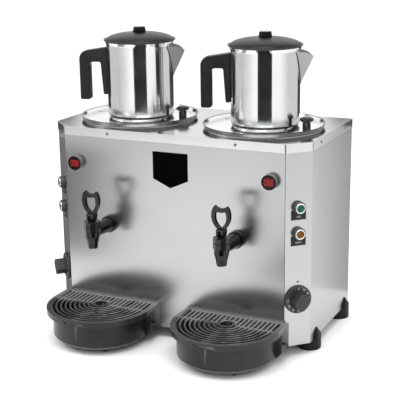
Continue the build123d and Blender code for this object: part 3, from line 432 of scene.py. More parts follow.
class Palette:
    """The boiler's finishes, from the metal sheet to the printing."""

    # Ground stainless sheet: soft grey, reflections smeared sideways by upright hairlines
    SHEET = BrushedSteel("stainless_sheet_belt_ground", "#b5b6b7", 0.25)
    # The same sheet on the cover, lying flat and polished further: a clearer reflection
    COVER = BrushedSteel("stainless_cover_polished", "#bcbdbe", 0.13, smear=0.2)
    # The cover's flange: the same steel with its upright faces painted brighter than the top, a painted
    # highlight
    FLANGE = BrushedSteel("stainless_flange_burnished", "#cdcecf", 0.16, smear=0.2)
    # Stainless buffed on a lathe: near-white bands and black ones, drawn out upright
    MIRROR = PolishedSteel("stainless_lathe_buffed", "#dcdddd", 0.1, smear=0.9)
    # Folded beak, brushed after welding: the same steel with its reflections blurred to a soft grey
    BEAK = PolishedSteel("stainless_brushed_beak", "#b2b3b4", 0.62)
    # Weld round the beak, stained by heat, plus painted shade on the beak's upper cut edges and a painted
    # contact shadow under the pot: thin dark lines
    WELD = PolishedSteel("stainless_weld_stained", "#2b2c2d", 0.4, wave_mm=3.0)
    # Spun stainless lid: a mirror softened by turning marks
    LID = PolishedSteel("stainless_spun_lid", "#dcdddd", 0.14, wave_mm=25.0)
    # Outside of the lid's rim: the lid's steel painted a duller grey than the floor of the lid, a painted
    # dark reflection
    RIM = PolishedSteel("stainless_rolled_rim", "#7d7e7f", 0.25, wave_mm=25.0)
    # Bead along the rim, painted dark: a line of painted shade
    BEAD = PolishedSteel("stainless_folded_bead", "#3c3d3e", 0.3, wave_mm=25.0)
    # Deep-drawn steel of the tanks, and of the heaters and shafts: dull grey
    TANK = PolishedSteel("stainless_deep_drawn", "#a9aaab", 0.32, wave_mm=12.0, sway=0.1)
    # Nickel-plated brass trim: bright thin rings
    PLATED = PolishedSteel("brass_nickel_plated", "#e6e4de", 0.2)
    # Zinc-plated steel rivets: greyer and duller than the sheet
    RIVET = PolishedSteel("steel_zinc_plated", "#7d7e80", 0.3, wave_mm=3.0)
    # Moulded polypropylene of the trays and the cable gland: satin black, with edges painted charcoal as a
    # highlight
    PLASTIC = MouldedPlastic("polypropylene_moulded_black", "#0f1011", 0.26, mottle_and_highlight="#6d6e70", cloud_mm=150.0,
                             sheen=0.28)
    # Moulded grille: the same plastic, with the bars' edges painted paler as a highlight
    GRILLE = MouldedPlastic("polypropylene_moulded_grille", "#141516", 0.36, mottle_and_highlight="#77787a", sheen=0.35)
    # Acetal of the taps and the lids' knobs, from a polished mould: deep black with clear highlights
    ACETAL = MouldedPlastic("acetal_moulded_black", "#040405", 0.09, grain_depth=0.01, mottle_and_highlight="#2c2d2e",
                            sheen=0.36)
    # Gloss black mouldings of the pots' knobs and the thermometers' fronts: darker than what they stand on
    GLOSS = MouldedPlastic("abs_moulded_gloss_black", "#040405", 0.15, grain_depth=0.02, mottle_and_highlight="#1a1a1b",
                           sheen=0.1)
    # Compression-moulded phenolic resin of the pots' handles and lids: matt charcoal
    PHENOLIC = MouldedPlastic("phenolic_compression_moulded", "#0c0d0e", 0.36, grain_depth=0.05, sheen=0.2)
    # Moulded nylon of the dials: satin charcoal
    DIAL = MouldedPlastic("nylon_moulded_charcoal", "#252627", 0.38, mottle_and_highlight="#505153", sheen=0.25)
    # Moulded rubber of the feet and the taps' washers: dull black
    RUBBER = MouldedPlastic("rubber_moulded_black", "#0d0d0e", 0.5, mottle_and_highlight="#222223", sheen=0.2)
    # Grey ABS of the thermometers' barrels and the thermostats: satin, with edges painted paler as a
    # highlight
    BARREL = MouldedPlastic("abs_moulded_grey", "#4b4c4d", 0.34, mottle_and_highlight="#85868a", grain_depth=0.04)
    # Dark grey ABS barrels of the lamps: satin
    LAMP = MouldedPlastic("abs_moulded_dark_grey", "#343536", 0.34, mottle_and_highlight="#58595a", grain_depth=0.04)
    # Smoked acrylic over the display: almost black, with a red cast
    WINDOW = LampLens("acrylic_smoked_red", "#2a0407", 0.2, deep="#0e0102", prism_mm=1.6)
    # Dyed acrylic of the lamps: clear, deep colour under a glossy face
    GREEN = LampLens("acrylic_dyed_green", "#035553", 0.16)
    AMBER = LampLens("acrylic_dyed_amber", "#7e4f03", 0.16, deep="#3a2001")
    # Light-emitting segments behind the smoked acrylic: a dull red glow
    DIGIT = LitSegment("led_segment_red", "#b0020c", 0.6)
    # Gloss enamel of the bare badge: deep black
    ENAMEL = MouldedPlastic("enamel_baked_black", "#020202", 0.3, grain_depth=0.01, mottle_and_highlight="#040404",
                            sheen=0.01)
    # Sprayed lacquer of the plates behind the lamps: matt charcoal
    PLATE = MouldedPlastic("lacquer_sprayed_charcoal", "#191a1b", 0.45, mottle_and_highlight="#3a3b3d", sheen=0.15)
    # Screen-printed ink: flat off-white figures and a black dot
    INK = PrintedInk("ink_screen_printed_white", "#b9b8b3", 0.5, thin="#8d8c88")
    DOT = PrintedInk("ink_screen_printed_black", "#1d1d1f", 0.5, thin="#2c2c2e")
    # Moulded polyamide of the terminal block: warm cream
    TERMINAL = MouldedPlastic("polyamide_moulded_cream", "#d8d0ba", 0.42, mottle_and_highlight="#e6e0cf")


def face_frame(origin: Vector, normal: Vector) -> Matrix:
    """A place at a point of an upright face: X across the face, Y upwards and Z along its normal."""
    across = UP.cross(normal).normalized()
    return Matrix.Translation(origin) @ Matrix((across, UP, normal)).transposed().to_4x4()


def onto(point: Vector, normal: Vector, level: float) -> Vector:
    """Slide a point along a normal until it stands at a level, in metres along that normal."""
    return point + normal * (level - point.dot(normal))


def reach(node: str, direction: Vector) -> float:
    """How far a CAD node reaches along a direction, in metres."""
    return max(v.co.dot(direction) for v in NODES[node].data.vertices)


def middle(node: str) -> Vector:
    """The middle of a CAD node's box."""
    low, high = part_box(node)
    return (low + high) / 2


def shown(name: str, data: ID) -> Object:
    """Link a mesh, curve, light or camera into the scene.

    Args:
        name: The object's name.
        data: What the object shows.

    Returns:
        The object, at the origin.
    """
    made = bpy.data.objects.new(name, data)
    bpy.context.scene.collection.objects.link(made)
    return made


def evaluated(maker: Object) -> Mesh:
    """Turn an object and its modifiers into a plain mesh.

    Args:
        maker: The object, which is removed.

    Returns:
        The plain mesh.
    """
    bpy.context.view_layer.update()
    graph = bpy.context.evaluated_depsgraph_get()
    done = maker.evaluated_get(graph)
    mesh = bpy.data.meshes.new_from_object(done, preserve_all_data_layers=True, depsgraph=graph)
    bpy.data.objects.remove(maker)
    return mesh


def meshed(work: bmesh.types.BMesh, name: str, crease: float | None = None) -> Mesh:
    """Turn a worked mesh into a plain one.

    Args:
        work: The worked mesh, which is freed.
        name: The plain mesh's name.
        crease: Edges that bend by more degrees than this stay sharp and the rest is smooth. Left out, the
            shading stays as it is.

    Returns:
        The plain mesh.
    """
    mesh = bpy.data.meshes.new(name)
    work.to_mesh(mesh)
    work.free()
    if crease is not None:
        mesh.shade_smooth()
        mesh.set_sharp_from_angle(angle=math.radians(crease))
    return mesh


def skinned(loops: Sequence[Sequence[Vector]], name: str, crease: float | None = CREASE_DEG) -> Mesh:
    """Skin a solid over loops of points, closed at both ends.

    Args:
        loops: Loops of equally many points, from one end of the solid to the other.
        name: The mesh's name.
        crease: Edges that bend by more degrees than this stay sharp. With none, every face is flat.

    Returns:
        The mesh.
    """
    work = bmesh.new()
    rings = [[work.verts.new(point) for point in loop] for loop in loops]
    for first, last in zip(rings, rings[1:]):
        for i in range(len(first)):
            work.faces.new((first[i - 1], first[i], last[i], last[i - 1]))
    work.faces.new(rings[0])
    work.faces.new(rings[-1])
    bmesh.ops.recalc_face_normals(work, faces=work.faces)
    return meshed(work, name, crease)


def slab(outline: Profile, levels: Span) -> Mesh:
    """A flat-faced slab about the origin, from its outline and its two levels, in millimetres."""
    return skinned([[Vector((x, y, z)) * MM for x, y in outline] for z in levels], "slab", crease=None)


def turned(profile: Profile) -> Mesh:
    """Turn a profile about Z into a solid with flat ends.

    Args:
        profile: Radius and height pairs in millimetres, from one end to the other.

    Returns:
        The mesh, about the origin.
    """
    angles = [2 * math.pi * i / TURNED_STEPS for i in range(TURNED_STEPS)]
    return skinned([[Vector((radius * math.cos(a), radius * math.sin(a), height)) * MM for a in angles]
                    for radius, height in profile], "turned")


def joined(meshes: Iterable[Mesh]) -> Mesh:
    """Join meshes that are already in place.

    Args:
        meshes: The meshes.

    Returns:
        One mesh with all of them.
    """
    work = bmesh.new()
    for mesh in meshes:
        work.from_mesh(mesh)
    return meshed(work, "joined")


def tube(points: Sequence[Vector], radius_mm: float) -> Mesh:
    """Make a round bead along points.

    Args:
        points: The points, in metres.
        radius_mm: The bead's radius.

    Returns:
        The mesh in place.
    """
    curve = bpy.data.curves.new("tube", "CURVE")
    curve.dimensions = "3D"
    curve.bevel_depth = radius_mm * MM
    curve.bevel_resolution = 3
    curve.use_fill_caps = True
    line = curve.splines.new("POLY")
    line.points.add(len(points) - 1)
    for spot, point in zip(line.points, points):
        spot.co = (*point, 1.0)
    return evaluated(shown("tube", curve))


def lettering(words: str, height_mm: float, place: Matrix) -> Mesh:
    """Make printed lettering as a thin mesh.

    Args:
        words: Generic words or numbers.
        height_mm: The type size.
        place: Where its middle goes, with Z outwards.

    Returns:
        The mesh in place.
    """
    curve = bpy.data.curves.new("lettering", "FONT")
    curve.body = words
    curve.size = height_mm * MM
    curve.extrude = PRINT_MM * MM
    curve.align_x = curve.align_y = "CENTER"
    mesh = evaluated(shown("lettering", curve))
    mesh.transform(place)
    return mesh


def ridden(name: str, mesh: Mesh, body: str, finish: Finish, nodes: Iterable[str] = ()) -> Object:
    """Make a finished piece that rides on a body.

    Args:
        name: The piece's name.
        mesh: Its mesh, already in place.
        body: The CAD body that it moves with.
        finish: Its finish.
        nodes: The CAD nodes that it stands for.

    Returns:
        The piece.
    """
    piece = shown(name, mesh)
    mesh.materials.clear()
    mesh.materials.append(finish.material())
    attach(piece, body)
    if nodes:
        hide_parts(*nodes)
    return piece


def dressed(node: str, finish: Finish) -> Object:
    """Give a finish to a CAD node that stays as it is.

    Args:
        node: The CAD node.
        finish: Its finish.

    Returns:
        The node's object.
    """
    piece = NODES[node]
    if not piece.material_slots:
        piece.data.materials.append(finish.material())
    for holder in piece.material_slots:
        holder.material = finish.material()
    return piece


def softened(node: str, finish: Finish, round_mm: float = 0.0, steps: int = 2,
             crease: float = 40.0) -> Object:
    """Stand a merged copy with rounded edges in for a CAD node.

    Args:
        node: The CAD node.
        finish: The copy's finish.
        round_mm: The width of the rounding, or zero for none.
        steps: The rounding's segments.
        crease: Edges that bend by more degrees than this are marked sharp before the rounding.

    Returns:
        The piece that stands for the node.
    """
    work = bmesh.new()
    work.from_mesh(NODES[node].data)
    bmesh.ops.remove_doubles(work, verts=work.verts, dist=MERGE_MM * MM)
    bmesh.ops.dissolve_limit(work, angle_limit=math.radians(FLAT_DEG), verts=work.verts, edges=work.edges)
    maker = shown(f"{node}_maker", meshed(work, f"{node}_copy", crease))
    if round_mm:
        rounding = maker.modifiers.new("rounding", "BEVEL")
        rounding.width = round_mm * MM
        rounding.segments = steps
        rounding.limit_method = "ANGLE"
        rounding.angle_limit = math.radians(ROUNDED_DEG)
        rounding.use_clamp_overlap = True
        # Roundings that meet at a corner leave slivers with no area, which are merged away
        slivers = maker.modifiers.new("slivers", "WELD")
        slivers.merge_threshold = MERGE_MM * MM
    even = maker.modifiers.new("even", "WEIGHTED_NORMAL")
    even.keep_sharp = not round_mm
    mesh = evaluated(maker)
    return ridden(f"{node}_finished", mesh, NODES[node]["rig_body"], finish, (node,))


def retouched(piece: Object, finish: Finish, chosen: Callable[[MeshPolygon], bool]) -> Object:
    """Give some faces of a piece a second finish.

    Args:
        piece: The finished piece.
        finish: The second finish.
        chosen: Which faces get it.

    Returns:
        The piece.
    """
    piece.data.materials.append(finish.material())
    for face in piece.data.polygons:
        if chosen(face):
            face.material_index = len(piece.data.materials) - 1
    return piece


class GrownMesh:
    """Geometry Nodes trees of the boiler, and what they grow."""

    @staticmethod
    def begin(name: str, sockets: dict[str, str]) -> tuple[NodeTree, Node, Node]:
        """Start a geometry tree that works on points, each facing its own way.

        Args:
            name: The tree's name.
            sockets: The kind of each named input, beside the points and the finish.

        Returns:
            The tree, the node with its inputs, and the rotation that faces each point's way.
        """
        tree = bpy.data.node_groups.new(name, "GeometryNodeTree")
        for label, kind in {"Geometry": "Geometry", **sockets, "Finish": "Material"}.items():
            tree.interface.new_socket(label, in_out="INPUT", socket_type=f"NodeSocket{kind}")
        tree.interface.new_socket("Geometry", in_out="OUTPUT", socket_type="NodeSocketGeometry")
        facing = add_node(
            tree, "GeometryNodeInputNamedAttribute", {"Name": "facing"}, data_type="FLOAT_VECTOR")
        aligned = add_node(tree, "FunctionNodeAlignRotationToVector", {"Vector": facing}, axis="Z")
        return tree, add_node(tree, "NodeGroupInput"), aligned

    @staticmethod
    def end(tree: NodeTree, start: Node, shape: Node | NodeSocket, rotation: Node) -> NodeTree:
        """End a tree with a shape on every point, made real and given its material.

        Args:
            tree: The tree.
            start: The node with its inputs.
            shape: What goes on every point.
            rotation: How it is turned there.

        Returns:
            The tree.
        """
        placed = add_node(tree, "GeometryNodeInstanceOnPoints", {
            "Points": start.outputs["Geometry"], "Instance": shape, "Rotation": rotation})
        real = add_node(tree, "GeometryNodeRealizeInstances", {"Geometry": placed})
        done = add_node(tree, "GeometryNodeSetMaterial", {
            "Geometry": real, "Material": start.outputs["Finish"]})
        add_node(tree, "NodeGroupOutput", {"Geometry": done})
        return tree

    @classmethod
    @cache
    def copies(cls) -> NodeTree:
        """Make the tree that sets one prototype on points, each also turned about its facing.

        Returns:
            The tree.
        """
        tree, start, aligned = cls.begin("placed_copies", {"Prototype": "Object"})
        turn = add_node(tree, "GeometryNodeInputNamedAttribute", {"Name": "turn"}, data_type="FLOAT")
        spin = add_node(tree, "FunctionNodeAxisAngleToRotation", {"Axis": UP, "Angle": turn})
        spun = add_node(tree, "FunctionNodeRotateRotation", {
            "Rotation": aligned, "Rotate By": spin}, rotation_space="LOCAL")
        shape = add_node(tree, "GeometryNodeObjectInfo", {"Object": start.outputs["Prototype"]})
        return cls.end(tree, start, shape.outputs["Geometry"], spun)

    @classmethod
    @cache
    def rings(cls) -> NodeTree:
        """Make the tree that sets a ring of round wire on points.

        Returns:
            The tree.
        """
        tree, start, aligned = cls.begin("wire_rings", {
            "Ring Radius": "Float", "Wire Radius": "Float", "Steps": "Int"})
        path = add_node(tree, "GeometryNodeCurvePrimitiveCircle", {
            "Resolution": start.outputs["Steps"], "Radius": start.outputs["Ring Radius"]})
        wire = add_node(tree, "GeometryNodeCurvePrimitiveCircle", {
            "Resolution": WIRE_STEPS, "Radius": start.outputs["Wire Radius"]})
        ring = add_node(tree, "GeometryNodeCurveToMesh", {"Curve": path, "Profile Curve": wire})
        smooth = add_node(tree, "GeometryNodeSetShadeSmooth", {"Geometry": ring})
        return cls.end(tree, start, smooth, aligned)

    @staticmethod
    def grow(tree: NodeTree, inputs: dict[str, object], points: Sequence[Vector], facings: Sequence[Vector],
             turns: Sequence[float] = ()) -> Mesh:
        """Evaluate a tree to a plain mesh.

        Args:
            tree: The geometry tree.
            inputs: Values for its named inputs.
            points: The points that it works on.
            facings: The way each point faces.
            turns: Each point's turn about its facing, in radians, or none.

        Returns:
            The plain mesh.
        """
        seed = bpy.data.meshes.new("points")
        seed.from_pydata(points, [], [])
        seed.attributes.new("facing", "FLOAT_VECTOR", "POINT")
        seed.attributes.new("turn", "FLOAT", "POINT")
        for i, facing in enumerate(facings):
            seed.attributes["facing"].data[i].vector = facing
            seed.attributes["turn"].data[i].value = turns[i] if turns else 0.0
        maker = shown("maker", seed)
        modifier = maker.modifiers.new("grow", "NODES")
        modifier.node_group = tree
        for item in tree.interface.items_tree:
            if item.in_out == "INPUT" and item.name in inputs:
                modifier[item.identifier] = inputs[item.name]
        return evaluated(maker)

    @classmethod
    def set_out(cls, shape: Mesh, finish: Finish, points: Sequence[Vector], facings: Sequence[Vector],
                turns: Sequence[float] = ()) -> Mesh:
        """Set copies of a mesh on points.

        Args:
            shape: The mesh, about the origin with Z outwards.
            finish: The copies' finish.
            points: Where the copies go.
            facings: The way each copy faces.
            turns: Each copy's turn about its facing, in radians.

        Returns:
            The copies as one plain mesh.
        """
        prototype = shown(shape.name, shape)
        inputs = {"Prototype": prototype, "Finish": finish.material()}
        mesh = cls.grow(cls.copies(), inputs, points, facings, turns)
        bpy.data.objects.remove(prototype)
        return mesh


class Assembly(ABC):
    """A sub-assembly that builds and dresses its own pieces."""

    @abstractmethod
    def build(self) -> list[Object]:
        """Build the pieces and return them."""


@dataclass
class SideUnit(Assembly):
    """A sub-assembly that stands on one side and is mirrored on the other."""

    side: Side

    def node(self, stem: str) -> str:
        """The name of this side's CAD node or piece."""
        return self.side.node(stem)


@dataclass
class Cabinet(Assembly):
    """The sheet cabinet with its cover, feet, badge, rivets and cable entry."""

    cover_round_mm: float = 0.8
    flange_tilt: float = 0.5
    rivet_radius_mm: float = 3.4
    rivet_height_mm: float = 1.5
    rivet_sunk_mm: float = 0.2
    front_rivets_mm: tuple[float, ...] = (-148.6, 148.6)
    side_rivets_mm: tuple[float, ...] = (14.5, 173.5)
    rear_rivets_mm: tuple[float, ...] = (-148.6, 148.6)
    back_columns_mm: tuple[float, ...] = (-272.0, 272.0)
    back_levels_mm: tuple[float, ...] = (60.0, 235.0, 410.0)

    SHEETS = ("front_panel", "back_panel", "base_plate", "side_panel_left", "side_panel_right")
    # Each fitting's finish, and the width of its rounding in millimetres
    FITTINGS = {"feet": (Palette.RUBBER, 1.2), "badge_plate": (Palette.ENAMEL, 0.5),
                "cable_gland": (Palette.PLASTIC, 0.5), "tap_washers": (Palette.RUBBER, 0.3),
                "terminal_block": (Palette.TERMINAL, 0.5)}
    INSIDE = {"tank": Palette.TANK, "heater": Palette.TANK, "thermostat": Palette.BARREL}
    # Shares of a rivet's radius and height, from its edge over its rounded head into its hollow
    RIVET_HEAD = ((1.0, 0.25), (0.85, 0.65), (0.5, 1.0), (0.38, 1.0), (0.34, 0.3))

    def build(self) -> list[Object]:
        """Dress the sheet and the fittings, and set the rivets.

        Returns:
            The pieces.
        """
        cover = softened("top_cover", Palette.COVER, self.cover_round_mm, crease=30.0)
        return [
            *(dressed(node, Palette.SHEET) for node in self.SHEETS),
            # The cover's upright faces are painted brighter than its top, a painted highlight
            retouched(cover, Palette.FLANGE, lambda face: abs(face.normal.z) < self.flange_tilt),
            *(softened(node, *coat) for node, coat in self.FITTINGS.items()),
            *(dressed(side.node(stem), finish) for side in Side for stem, finish in self.INSIDE.items()),
            self.rivets(),
        ]

    def rivets(self) -> Object:
        """Set blind rivets round the cover's flange and down the back panel.

        Returns:
            The rivets, one mesh on the cabinet.
        """
        low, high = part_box("top_cover")
        level = (low.z + high.z) / 2
        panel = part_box("back_panel")[1].y
        rows = [(Vector((x * MM, low.y, level)), FRONT) for x in self.front_rivets_mm]
        rows += [(Vector((x * MM, high.y, level)), BACK) for x in self.rear_rivets_mm]
        rows += [(Vector((high.x * side.sign, y * MM, level)), Vector((side.sign, 0.0, 0.0)))
                 for y in self.side_rivets_mm for side in Side]
        rows += [(Vector((x * MM, panel, z * MM)), BACK)
                 for x in self.back_columns_mm for z in self.back_levels_mm]
        radius, height = self.rivet_radius_mm, self.rivet_height_mm
        profile = [(radius, -self.rivet_sunk_mm), *((r * radius, z * height) for r, z in self.RIVET_HEAD)]
        mesh = GrownMesh.set_out(turned(profile), Palette.RIVET, *zip(*rows))
        return ridden("cover_and_back_rivets", mesh, "cabinet", Palette.RIVET)


@dataclass
class ControlCorner(SideUnit):
    """A slanted corner with two signal lamps on their plates and a thermostat dial."""

    trim_radius_mm: float = 9.3
    trim_wire_mm: float = 1.6
    trim_rise_mm: float = 1.2
    trim_steps: int = 48
    plate_mm: float = 0.8
    word_size_mm: float = 5.8
    word_drop_mm: float = 19.5
    dial_radius_mm: float = 30.0
    print_shares: Span = (0.7, 0.97)
    tick_radius_mm: float = 27.2
    tick_count: int = 28
    tick_mm: tuple[float, float, float] = (0.55, 2.0, 0.12)
    numeral_radius_mm: float = 23.4
    numeral_size_mm: float = 5.6
    first_angle_deg: float = 0.0
    scale_deg: float = 270.0
    numerals: tuple[str, ...] = ("0", "30", "40", "50", "60", "70", "80", "90", "100", "110")
    dot_radius_mm: float = 2.3
    dot_thick_mm: float = 0.15
    dot_rise_mm: float = 38.0

    def build(self) -> list[Object]:
        """Dress lamps, plates and dial, and print them.

        Returns:
            The pieces.
        """
        pieces = [
            softened(self.node("lamp_bezels"), Palette.LAMP, round_mm=0.6),
            softened(self.node("green_lens"), Palette.GREEN, round_mm=0.5),
            softened(self.node("amber_lens"), Palette.AMBER, round_mm=0.5),
            softened(self.node("dial"), Palette.DIAL, round_mm=0.8),
            dressed(self.node("thermostat_shaft"), Palette.TANK),
            self.trims(),
            self.words(),
            self.dial_print(),
            self.index_dot(),
        ]
        # The plates of both corners are one node
        if self.side is Side.LEFT:
            pieces.append(softened("lamp_labels", Palette.PLATE, round_mm=0.25))
        return pieces

    def before(self, lamp: Lamp, level: float) -> Vector:
        """The middle of a lamp's lens, moved along the corner's normal to a level."""
        return onto(middle(self.node(f"{lamp.name.lower()}_lens")), self.side.corner_normal, level)

    def trims(self) -> Object:
        """Set a plated ring round each lens.

        Returns:
            The rings, one mesh on the cabinet.
        """
        normal = self.side.corner_normal
        level = reach(self.node("lamp_bezels"), normal) + self.trim_rise_mm * MM
        mesh = GrownMesh.grow(GrownMesh.rings(), {
            "Ring Radius": self.trim_radius_mm * MM, "Wire Radius": self.trim_wire_mm * MM,
            "Steps": self.trim_steps, "Finish": Palette.PLATED.material()},
            [self.before(lamp, level) for lamp in Lamp], [normal] * len(Lamp))
        return ridden(self.node("lamp_trim_rings"), mesh, "cabinet", Palette.PLATED)

    def words(self) -> Object:
        """Print a generic word under each lamp, on its plate.

        Returns:
            The words, one mesh on the cabinet.
        """
        normal = self.side.corner_normal
        level = reach("lamp_labels", normal)
        drop = UP * self.word_drop_mm * MM
        places = [face_frame(self.before(lamp, level) - drop, normal) for lamp in Lamp]
        mesh = joined(lettering(lamp.value, self.word_size_mm, place) for lamp, place in zip(Lamp, places))
        return ridden(self.node("lamp_words"), mesh, "cabinet", Palette.INK)

    def dial_place(self) -> Matrix:
        """Find the dial's printed face.

        Returns:
            Its place, about the dial's own axis.
        """
        normal, axis = self.side.corner_normal, middle(self.node("dial"))
        nearest, farthest = (share * self.dial_radius_mm * MM for share in self.print_shares)
        level = max(v.co.dot(normal) for v in NODES[self.node("dial")].data.vertices
                    if nearest < (onto(v.co, normal, axis.dot(normal)) - axis).length < farthest)
        return face_frame(onto(axis, normal, level), normal)

    def dial_print(self) -> Object:
        """Print the scale's ticks and generic numbers on the dial.

        Returns:
            The print, which turns with the dial.
        """
        place = self.dial_place()
        start, sweep = math.radians(self.first_angle_deg), math.radians(self.scale_deg)
        angles = [start + sweep * i / (self.tick_count - 1) for i in range(self.tick_count)]
        spots = [Vector((math.sin(a), math.cos(a), 0.0)) * self.tick_radius_mm * MM for a in angles]
        wide, long, thick = (size / 2 for size in self.tick_mm)
        bar = slab(((-wide, -long), (wide, -long), (wide, long), (-wide, long)), (-thick, thick))
        ticks = GrownMesh.set_out(bar, Palette.INK, spots, [UP] * len(spots), [-a for a in angles])
        ticks.transform(place)
        meshes = [ticks]
        for i, number in enumerate(self.numerals):
            angle = start + sweep * i / (len(self.numerals) - 1)
            spin = Matrix.Rotation(-angle, 4, "Z") @ Matrix.Translation((0, self.numeral_radius_mm * MM, 0))
            meshes.append(lettering(number, self.numeral_size_mm, place @ spin))
        mesh = joined(meshes)
        return ridden(self.node("dial_print"), mesh, self.node("dial"), Palette.INK)

    def index_dot(self) -> Object:
        """Print a dot above the dial, where its scale is read.

        Returns:
            The dot, on the cabinet.
        """
        normal = self.side.corner_normal
        sheet = reach("lamp_labels", normal) - self.plate_mm * MM
        spot = onto(middle(self.node("dial")), normal, sheet) + UP * self.dot_rise_mm * MM
        dot = turned(((self.dot_radius_mm, 0.0), (self.dot_radius_mm, self.dot_thick_mm)))
        dot.transform(face_frame(spot, normal))
        return ridden(self.node("dial_index_dot"), dot, "cabinet", Palette.DOT)


@dataclass
class Thermometer(SideUnit):
    """A round digital thermometer on the front."""

    shown_number: str = "088"
    digit_pitch_mm: float = 7.0
    bar_length_mm: float = 4.0
    bar_width_mm: float = 0.9
    bar_thick_mm: float = 0.2
    bar_gap_mm: float = 0.5
    tallness: float = 1.35
    bore_mm: float = 13.6
    front_tilt: float = 0.5

    # The lit bars of each digit, and each bar's place in half bars and its turn in degrees
    SEGMENTS = {"0": "abcdef", "1": "bc", "2": "abged", "3": "abgcd", "4": "fgbc", "5": "afgcd",
                "6": "afgedc", "7": "abc", "8": "abcdefg", "9": "abcdfg"}
    PLACES = {"a": (0, 2, 0), "b": (1, 1, 90), "c": (1, -1, 90), "d": (0, -2, 0), "e": (-1, -1, 90),
              "f": (-1, 1, 90), "g": (0, 0, 0)}

    def build(self) -> list[Object]:
        """Dress the housing and window, and light the digits.

        Returns:
            The pieces.
        """
        centre = middle(self.node("thermometer_window"))

        def glossy(face: MeshPolygon) -> bool:
            """Whether a face looks to the front or is inside the bore."""
            away = math.hypot(face.center.x - centre.x, face.center.z - centre.z)
            return face.normal.dot(FRONT) > self.front_tilt or away < self.bore_mm * MM

        housing = softened(self.node("thermometer_housing"), Palette.BARREL, round_mm=1.0)
        return [
            retouched(housing, Palette.GLOSS, glossy),
            softened(self.node("thermometer_window"), Palette.WINDOW, round_mm=0.3),
            self.digits(),
        ]

    def digits(self) -> Object:
        """Set glowing bars on the window as digits.

        Returns:
            The bars, one mesh on the cabinet.
        """
        window = self.node("thermometer_window")
        centre, face = middle(window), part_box(window)[0].y
        half = (self.bar_length_mm + self.bar_gap_mm) / 2
        points, turns = [], []
        for i, digit in enumerate(self.shown_number):
            shift = (i - (len(self.shown_number) - 1) / 2) * self.digit_pitch_mm
            for letter in self.SEGMENTS[digit]:
                x, z, turn = self.PLACES[letter]
                points.append(Vector((centre.x + (shift + x * half) * MM, face, centre.z + z * half * MM)))
                turns.append(math.radians(turn))
        mesh = GrownMesh.set_out(self.bar(), Palette.DIGIT, points, [FRONT] * len(points), turns)
        level = Matrix.Translation(UP * centre.z)
        mesh.transform(level @ Matrix.Scale(self.tallness, 4, UP) @ level.inverted())
        return ridden(self.node("thermometer_digits"), mesh, "cabinet", Palette.DIGIT)

    def bar(self) -> Mesh:
        """Make one display segment, a thin bar with pointed ends.

        Returns:
            The bar, along X with Z outwards.
        """
        end, wide = self.bar_length_mm / 2, self.bar_width_mm / 2
        outline = ((-end, 0), (wide - end, -wide), (end - wide, -wide),
                   (end, 0), (end - wide, wide), (wide - end, wide))
        return slab(outline, (0.0, self.bar_thick_mm))


@dataclass
class LeverTap(SideUnit):
    """A lever tap: body, bonnet, stem and pull lever."""

    # The width of each piece's rounding in millimetres, and its segments
    ROUNDED = {"tap_body": (0.7, 2), "tap_bonnet": (0.8, 2), "tap_lever": (1.6, 3), "tap_stem": (0.3, 2)}

    def build(self) -> list[Object]:
        """Dress the moulded pieces and return them."""
        return [softened(self.node(stem), Palette.ACETAL, *how) for stem, how in self.ROUNDED.items()]


@dataclass
class DripStation(SideUnit):
    """A drip tray and its grille."""

    overhang_mm: float = 13.0
    floor_mm: float = 8.0
    bevel_mm: float = 12.0
    wall_mm: float = 2.5
    back_wall_mm: float = 7.5
    sunk_mm: float = 0.9
    recess_mm: float = 0.15
    turn_steps: int = 72

    def build(self) -> list[Object]:
        """Dress the tray and the grille, and close the tray's bevel.

        Returns:
            The pieces.
        """
        return [
            softened(self.node("drip_tray"), Palette.PLASTIC, round_mm=1.4, steps=3),
            softened(self.node("drip_grille"), Palette.GRILLE, round_mm=1.1, steps=3),
            self.bevel_strip(),
        ]

    def bevel_strip(self) -> Object:
        """Make the slanted wall between the tray's floor and side, which the solid's bevel cuts through.

        Returns:
            The strip, which runs from the back round the bowl and rides on the tray.
        """
        node = self.node("drip_tray")
        low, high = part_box(node)
        half = (high.x - low.x) / 2
        drain = Vector(((low.x + high.x) / 2, low.y + half, 0.0))
        bowl = half - self.overhang_mm * MM
        foot, head = bowl - (self.bevel_mm - self.sunk_mm) * MM, bowl - self.sunk_mm * MM
        bottom, thick = (self.floor_mm + self.sunk_mm) * MM, self.wall_mm * MM * math.sqrt(2)
        top, recess = bottom + head - foot, self.recess_mm * MM
        section = ((foot - recess, bottom), (head - recess, top),
                   (head - recess, top + thick), (foot - thick, bottom))
        straight = high.y - self.back_wall_mm * MM - drain.y
        turns = [math.pi * (1 + i / self.turn_steps) for i in range(self.turn_steps + 1)]
        stations = [(turns[0], straight), *((turn, 0.0) for turn in turns), (turns[-1], straight)]
        loops = [[drain + Vector((r * math.cos(turn), r * math.sin(turn) + back, z)) for r, z in section]
                 for turn, back in stations]
        name = f"{node}_bevel_strip"
        return ridden(name, skinned(loops, name), NODES[node]["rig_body"], Palette.PLASTIC)


